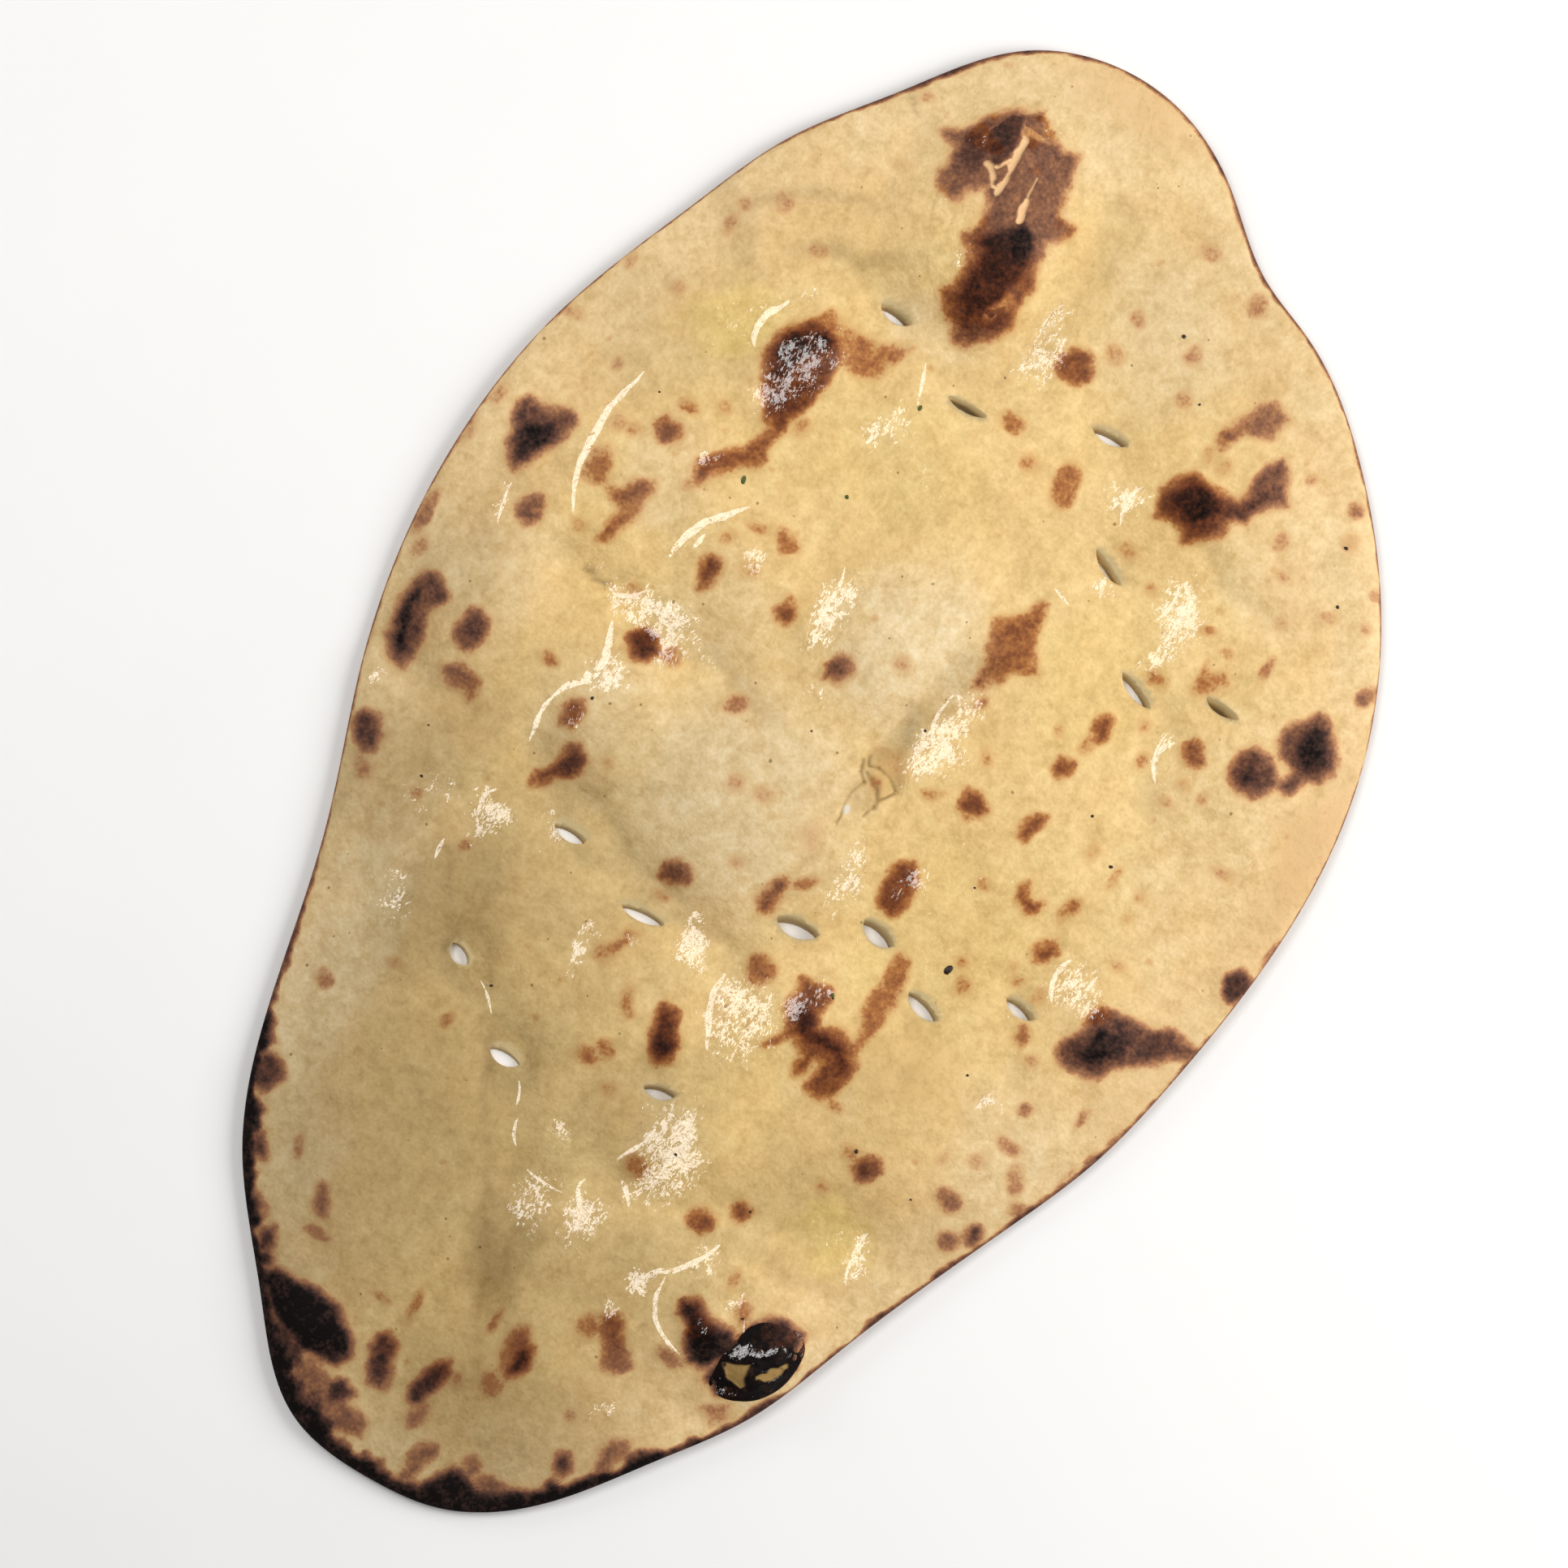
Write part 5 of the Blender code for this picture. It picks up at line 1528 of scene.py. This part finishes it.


# The torn skin's crumb colour is only used for the painted reflection in the pin hole
torn_bubble = fine_skin(
    "torn_bubble", TORN_BED[:2], oval_edge(*TORN_BED), spacing=0.22, lift=0.05, relief=torn_relief,
    material=buttered_crust("torn_bubble_skin", paint(214, 206, 192), 0.12),
)
torn_x, torn_y, _ = point_places(torn_bubble.data)
torn_scorch = np.maximum(scorch(torn_x, torn_y), patches(torn_x, torn_y, BROWNED, 49, 0.8))
# Painted shade as on the crust, and more of it along each tear
shade_tone = shade_amount(torn_x, torn_y)
line_strength = 0.75 + 0.4 * soft_noise(torn_x, torn_y, 2.2, 83)
for path, width, depth in TEARS:
    line = np.exp(-((path_distance(torn_x, torn_y, path) / (0.8 * width)) ** 2)) * line_strength
    torn_scorch, shade_tone = np.maximum(torn_scorch, 0.8 * depth * line), np.maximum(shade_tone, 0.7 * line)
glare_spot = 1 - smooth_step(oval_distance(torn_x, torn_y, GLARE_SPOT), 0.8, 1.3)
dress(torn_bubble.data, scorch=torn_scorch, greyed=shade_tone, crumb=glare_spot)
place_on_bread(torn_bubble)

# %% [markdown]
# ## Runs of melted butter
# Butter gathers in thin runs where the brush stopped or where it flowed along a crease. Each run is a
# low bead carried along a smooth path, thin at both ends. Its section is a parabola, whose slope changes
# steadily, so a good part of it turns to the lamp. It takes the crust's own colour, because butter is
# clear, and only shines more.

# %% Beads of butter
# The places that a run passes, then its width in millimetres
BUTTER_RUNS = [
    ([(-46, 75.4), (-48.3, 71.5), (-48.8, 67.8), (-47.4, 65.2)], 1.5),
    ([(-61.8, 52), (-63.2, 47), (-64.2, 43), (-64, 38), (-63.8, 33), (-62.6, 28.5), (-60.3, 24.4)], 1.4),
    ([(-33.8, 40.8), (-36, 38.4), (-39.4, 34.6), (-41.4, 31), (-42.2, 26)], 1.5),
    ([(-38.3, 32.6), (-39.1, 29.6)], 1.1),
    ([(-45, 11.5), (-43.4, 7), (-42.4, 3.4), (-43.3, 0.8), (-46.2, -2.4), (-47.5, -5.5)], 1.6),
    ([(-47.2, -5), (-47.9, -8.5), (-47.5, -11.5), (-47, -14.4)], 1.1),
    ([(25.9, -73.5), (24.4, -77.2), (22.1, -80.4), (20.2, -82.6), (18.8, -83.4)], 1.2),
    ([(19.6, -82), (17.6, -84.6), (16.4, -88)], 1.2),
    ([(20.4, -83), (20.6, -87), (22.4, -90.6), (25, -92.4), (29.6, -93.8)], 1.0),
    ([(3.2, -32), (3, -36), (4.2, -40), (7, -45.4)], 1.3), ([(54.2, 0.4), (53.3, -3.4), (55, -8)], 1.3),
    ([(49, 43.4), (49.4, 38), (51.6, 34.2)], 0.9), ([(5, -72.2), (6.6, -73.4), (8.8, -76)], 1.1),
    ([(5.9, -61.3), (5.6, -64.5), (4.2, -67), (3, -70)], 1.0),
    ([(-10.4, -79.2), (-6.2, -79.9), (-2.5, -79.6)], 0.9),
    ([(-0.2, -75.4), (-0.3, -78), (1.2, -80), (2, -83.4)], 1.0),
    ([(-19.2, -66.4), (-17.8, -68.4), (-17.3, -70.6)], 0.7),
    ([(-16, -72), (-15.2, -75), (-13.4, -77)], 0.7), ([(-34, -54.6), (-31.4, -56.4), (-28.8, -59.2)], 0.7),
    ([(-20.4, 78.4), (-18.8, 74.6), (-17.6, 70.6)], 0.7), ([(19, 55), (23, 53.6)], 0.7),
    ([(37.6, 66.6), (38.4, 62.6), (37, 58.4)], 0.8), ([(13.2, 30.2), (12.6, 25), (14.6, 20)], 0.9),
    ([(-14.6, 40), (-13.6, 35), (-13.6, 29), (-12.4, 25)], 0.9),
    ([(23.4, 78), (22.6, 74), (23.8, 70)], 0.8), ([(-4.4, 99), (-5.4, 94), (-5, 89.4)], 0.7),
    ([(59.6, 0.2), (58.8, -3.6)], 0.7), ([(47.4, -58.6), (47, -63), (48.4, -69)], 0.8),
    ([(36, -82.4), (37.4, -85.4), (39.4, -88)], 0.7), ([(39.8, -87.4), (41, -85), (42.4, -85.6)], 0.7),
    ([(-49.4, 16.6), (-45.6, 16.2), (-42.4, 19.4)], 0.9), ([(-41.6, 19.2), (-39, 16.6), (-35, 15.8)], 1.1),
    ([(-72.4, 24), (-71.8, 20), (-70.8, 16)], 0.7), ([(-47.6, -24), (-49, -26.6), (-48.4, -29)], 1.1),
    ([(-51.4, -36), (-51, -40)], 0.7),
]
BEAD_HEIGHT = 0.25
BEAD_SIDES = 10
BEAD_SPACING = 0.35
BEAD_ROUNDINGS = 12
# How far a bead's edge and its foot lie below the crust
BEAD_SINK, BEAD_FOOT = 0.03, 0.3


def bead(path, width, number):
    """A low bead along a path: 1 minus t squared across it, and a root of the sine along it.

    A path of up to four places becomes a fitted curve. A longer one runs straight from place to place
    and is rounded by taking the mean of neighbours some times over.
    """
    places = np.array(path, float)
    steps = np.concatenate([[0], np.cumsum(np.hypot(*np.diff(places, axis=0).T))])
    count = max(8, int(steps[-1] / BEAD_SPACING))
    along = np.linspace(0, steps[-1], count)
    degree = min(3, len(places) - 1)
    bend = np.polynomial.polynomial.Polynomial.fit
    if len(places) <= 4:
        line = np.stack([bend(steps, places[:, k], degree)(along) for k in (0, 1)], axis=-1)
    else:
        line = np.stack([np.interp(along, steps, places[:, k]) for k in (0, 1)], axis=-1)
        for _ in range(BEAD_ROUNDINGS):
            line[1:-1] = (line[:-2] + 2 * line[1:-1] + line[2:]) / 4
    line += 0.16 * np.stack([soft_noise(along, along * 0 + number, 2.2, seed) for seed in (91, 92)], axis=-1)
    run = np.gradient(line, axis=0)
    side = np.stack([-run[:, 1], run[:, 0]], axis=-1) / np.hypot(*run.T)[:, None]
    swell = np.sin(math.pi * (0.02 + 0.96 * along / steps[-1])) ** 0.5
    half = width / 2 * swell * (1 + 0.3 * soft_noise(along, along * 0 + 3 * number, 1.9, 93))
    crown = np.linspace(-1, 1, BEAD_SIDES)
    across = -half[:, None] * crown
    x = line[:, :1] + side[:, :1] * across
    y = line[:, 1:] + side[:, 1:] * across
    z = crust_height(x, y) - BEAD_SINK + BEAD_HEIGHT * half[:, None] * (1 - crown**2)
    foot_x, foot_y = line[:, 0], line[:, 1]
    foot = np.stack([foot_x, foot_y, crust_height(foot_x, foot_y) - BEAD_FOOT], axis=-1)
    points = np.concatenate([np.stack([x, y, z], axis=-1), foot[:, None]], axis=1)
    sides = BEAD_SIDES + 1
    grid = np.arange(count * sides).reshape(count, sides)
    wrapped = np.roll(grid, -1, axis=1)
    walls = np.stack([grid[:-1], wrapped[:-1], wrapped[1:], grid[1:]], axis=-1).reshape(-1, 4)
    return points.reshape(-1, 3), walls, grid[0][::-1], grid[-1]


bead_points, bead_faces, bead_ends, filled = [], [], [], 0
for number, (path, width) in enumerate(BUTTER_RUNS):
    points, walls, first_end, last_end = bead(path, width, number)
    bead_points.append(points)
    bead_faces.append(walls + filled)
    bead_ends.append(np.stack([first_end, last_end]) + filled)
    filled += len(points)
melted_butter = new_piece(
    "melted_butter", np.concatenate(bead_points), bead_faces + bead_ends,
    buttered_crust("melted_butter", PALE_CRUMB, 0.06),
)
dress(melted_butter.data, shine=1.45)
place_on_bread(melted_butter)
print("butter runs:", len(BUTTER_RUNS), "with", filled, "points")

# %% [markdown]
# ## Flecks
# A few flecks of green herb, one dark seed and some specks of soot lie on the crust. Each is a tiny
# pebble: a rounded form whose radius is shaken by seeded noise, squashed flat and sunk a little.

# %% Herb flecks and dark specks
# Middle across and along, width, length, turn
HERBS = [
    (-37.4, 44.2, 0.8, 1.5, 10), (-20.3, 50.7, 0.6, 0.8, 40), (-17, 70.5, 0.7, 1.1, 0),
    (21, -26, 0.7, 0.8, 0),
]
SPECKS = [
    (36.5, -12, 1.2, 1.8, -20), (16.7, 104.5, 0.7, 0.7, 0), (59.7, 86.5, 0.8, 0.6, 0),
    (63.6, 76.9, 0.6, 0.6, 0), (25, 95.5, 0.4, 0.5, 0), (-5.2, 12.2, 0.4, 0.4, 0),
    (-41.2, -2, 0.6, 0.7, 0), (44.7, 23.8, 0.5, 0.5, 0), (52, 17.8, 0.7, 0.6, 0), (12, 22.2, 0.6, 0.5, 0),
    (33.2, 2.7, 0.4, 0.4, 0), (-63.7, -20.4, 0.4, 0.4, 0), (-60.3, -28.7, 0.6, 0.5, 0),
    (-31.5, -54.5, 0.8, 0.5, 30), (48.5, -26.3, 0.5, 0.5, 0), (38.3, -47.5, 0.7, 0.8, 0),
    (11.2, -63.7, 0.6, 0.5, 0), (50.7, -50, 0.4, 0.4, 0), (35.6, -82.6, 0.5, 0.5, 0),
    (21.4, -26.4, 0.4, 0.4, 0), (-57.8, 50.2, 0.4, 0.4, 0), (27.6, -66, 0.4, 0.5, 0),
]
PEBBLE_RINGS, PEBBLE_SIDES = 5, 9
PEBBLE_THICKNESS = 0.22


def pebbles(places):
    """Points and faces of flat pebbles on the crust: a ball's rings, shaken, squashed and turned."""
    points, faces = [], []
    polar = math.pi * np.arange(1, PEBBLE_RINGS + 1)[:, None] / (PEBBLE_RINGS + 1)
    around = 2 * math.pi * np.arange(PEBBLE_SIDES)[None] / PEBBLE_SIDES
    for number, (middle_x, middle_y, width, length, turn) in enumerate(places):
        shake = 1 + 0.25 * soft_noise(np.cos(around) + 9 * number, np.sin(around) + polar, 0.8, 95)
        across = width / 2 * np.sin(polar) * np.cos(around) * shake
        along = length / 2 * np.sin(polar) * np.sin(around) * shake
        x, y = turned(across, along, turn)
        base = crust_height(np.array([middle_x]), np.array([middle_y]))[0] + 0.05
        z = base + PEBBLE_THICKNESS * np.cos(polar) + 0 * around
        body = np.stack([middle_x + x, middle_y + y, z], axis=-1).reshape(-1, 3)
        pole_heights = (base + PEBBLE_THICKNESS, base - PEBBLE_THICKNESS)
        poles = np.array([[middle_x, middle_y, height] for height in pole_heights])
        start = sum(map(len, points))
        grid = start + np.arange(PEBBLE_RINGS * PEBBLE_SIDES).reshape(PEBBLE_RINGS, PEBBLE_SIDES)
        after = np.roll(grid, -1, axis=1)
        top, bottom = start + grid.size, start + grid.size + 1
        faces.append(np.stack([grid[:-1], grid[1:], after[1:], after[:-1]], axis=-1).reshape(-1, 4))
        faces.append(np.stack([np.full(PEBBLE_SIDES, top), grid[0], after[0]], axis=-1))
        faces.append(np.stack([np.full(PEBBLE_SIDES, bottom), after[-1], grid[-1]], axis=-1))
        points += [body, poles]
    return np.concatenate(points), faces


def fleck_finish(name, dark, light, shine):
    """Two tones in fine clouds, with a grainy bump."""
    fleck = Finish(name)
    cloud = fleck.noise(0.3, 3, 0.6)
    colour = fleck.blend(fleck.span(cloud, 0.35, 0.65), paint(*dark), paint(*light))
    bumps = fleck.relief(cloud, 0.05)
    return fleck.finish(Base_Color=colour, Roughness=shine, Specular_IOR_Level=0.4, Normal=bumps)


green_herb = fleck_finish("green_herb", (44, 62, 24), (92, 108, 44), 0.5)
soot = fleck_finish("soot", (20, 13, 11), (48, 30, 24), 0.45)
herb_flecks = new_piece("herb_flecks", *pebbles(HERBS), green_herb)
soot_specks = new_piece("soot_specks", *pebbles(SPECKS), soot)
place_on_bread(herb_flecks)
place_on_bread(soot_specks)
print("flecks:", len(HERBS), "of herb and", len(SPECKS), "dark")

# %% [markdown]
# ## The table, the light and the camera
# The photograph looks straight down. A pale table takes the shadow. A small lamp from the picture's upper
# left makes the butter glitter, a low one beside it models the puffs, a large one from the right keeps
# that side brighter, as it is in the photograph, and a pale sky fills the rest.

# %% Table
TABLE_HALF = 1500.0


def pale_table():
    """Near white, with the faintest clouds."""
    table = Finish("pale_table")
    tint = table.blend(table.noise(40, 3, shift=1), paint(243, 243, 243), paint(247, 247, 247))
    return table.finish(Base_Color=tint, Roughness=0.7, Specular_IOR_Level=0.3)


corners = TABLE_HALF * np.array([(-1, -1, 0), (1, -1, 0), (1, 1, 0), (-1, 1, 0)], float)
floor = new_piece("table", corners, [np.array([[0, 1, 2, 3]])], pale_table())
floor.location.z = bread_low[2]

# %% Lights
PICTURE_TURN = 30.0
SKY_STRENGTH = 0.24


def soft_lamp(name, right, up, height, size, power):
    """A square lamp placed by the picture's right and up, in metres, that faces the bread."""
    lamp = bpy.data.lights.new(name, "AREA")
    lamp.size = size
    lamp.energy = power
    lamp.color = (1.0, 0.98, 0.95)
    stand = bpy.data.objects.new(name, lamp)
    x, y = turned(right, up, PICTURE_TURN)
    stand.location = (x, y, height)
    stand.rotation_euler = (math.acos(height / math.hypot(x, y, height)), 0.0, math.atan2(y, x) + math.pi / 2)
    bpy.context.scene.collection.objects.link(stand)


soft_lamp("key_lamp", right=-0.27, up=0.27, height=0.82, size=0.36, power=3.0)
soft_lamp("side_lamp", right=-0.6, up=0.45, height=0.36, size=0.3, power=1.1)
soft_lamp("fill_lamp", right=0.55, up=0.02, height=0.42, size=0.5, power=4.2)
world = bpy.data.worlds.new("pale_sky")
world.use_nodes = True
world.node_tree.nodes["Background"].inputs["Color"].default_value = (1.0, 1.0, 1.0, 1.0)
world.node_tree.nodes["Background"].inputs["Strength"].default_value = SKY_STRENGTH
bpy.context.scene.world = world
bpy.context.scene.view_settings.view_transform = "Standard"

# %% Camera
PICTURE_MIDDLE = (-4.75, 1.76)
PICTURE_SPAN = 274.2
CAMERA_HEIGHT = 800.0
camera = bpy.data.cameras.new("camera")
camera.sensor_width = 36.0
camera.lens = camera.sensor_width * CAMERA_HEIGHT / PICTURE_SPAN
viewer = bpy.data.objects.new("camera", camera)
viewer.location = (PICTURE_MIDDLE[0] * MM, PICTURE_MIDDLE[1] * MM, (CAMERA_HEIGHT + DOUGH) * MM)
viewer.rotation_euler = (0.0, 0.0, math.radians(PICTURE_TURN))
bpy.context.scene.collection.objects.link(viewer)
bpy.context.scene.camera = viewer
print(f"the camera looks down from {CAMERA_HEIGHT:.0f} mm through a {camera.lens:.0f} mm lens")

# %% Finish
bpy.context.view_layer.update()
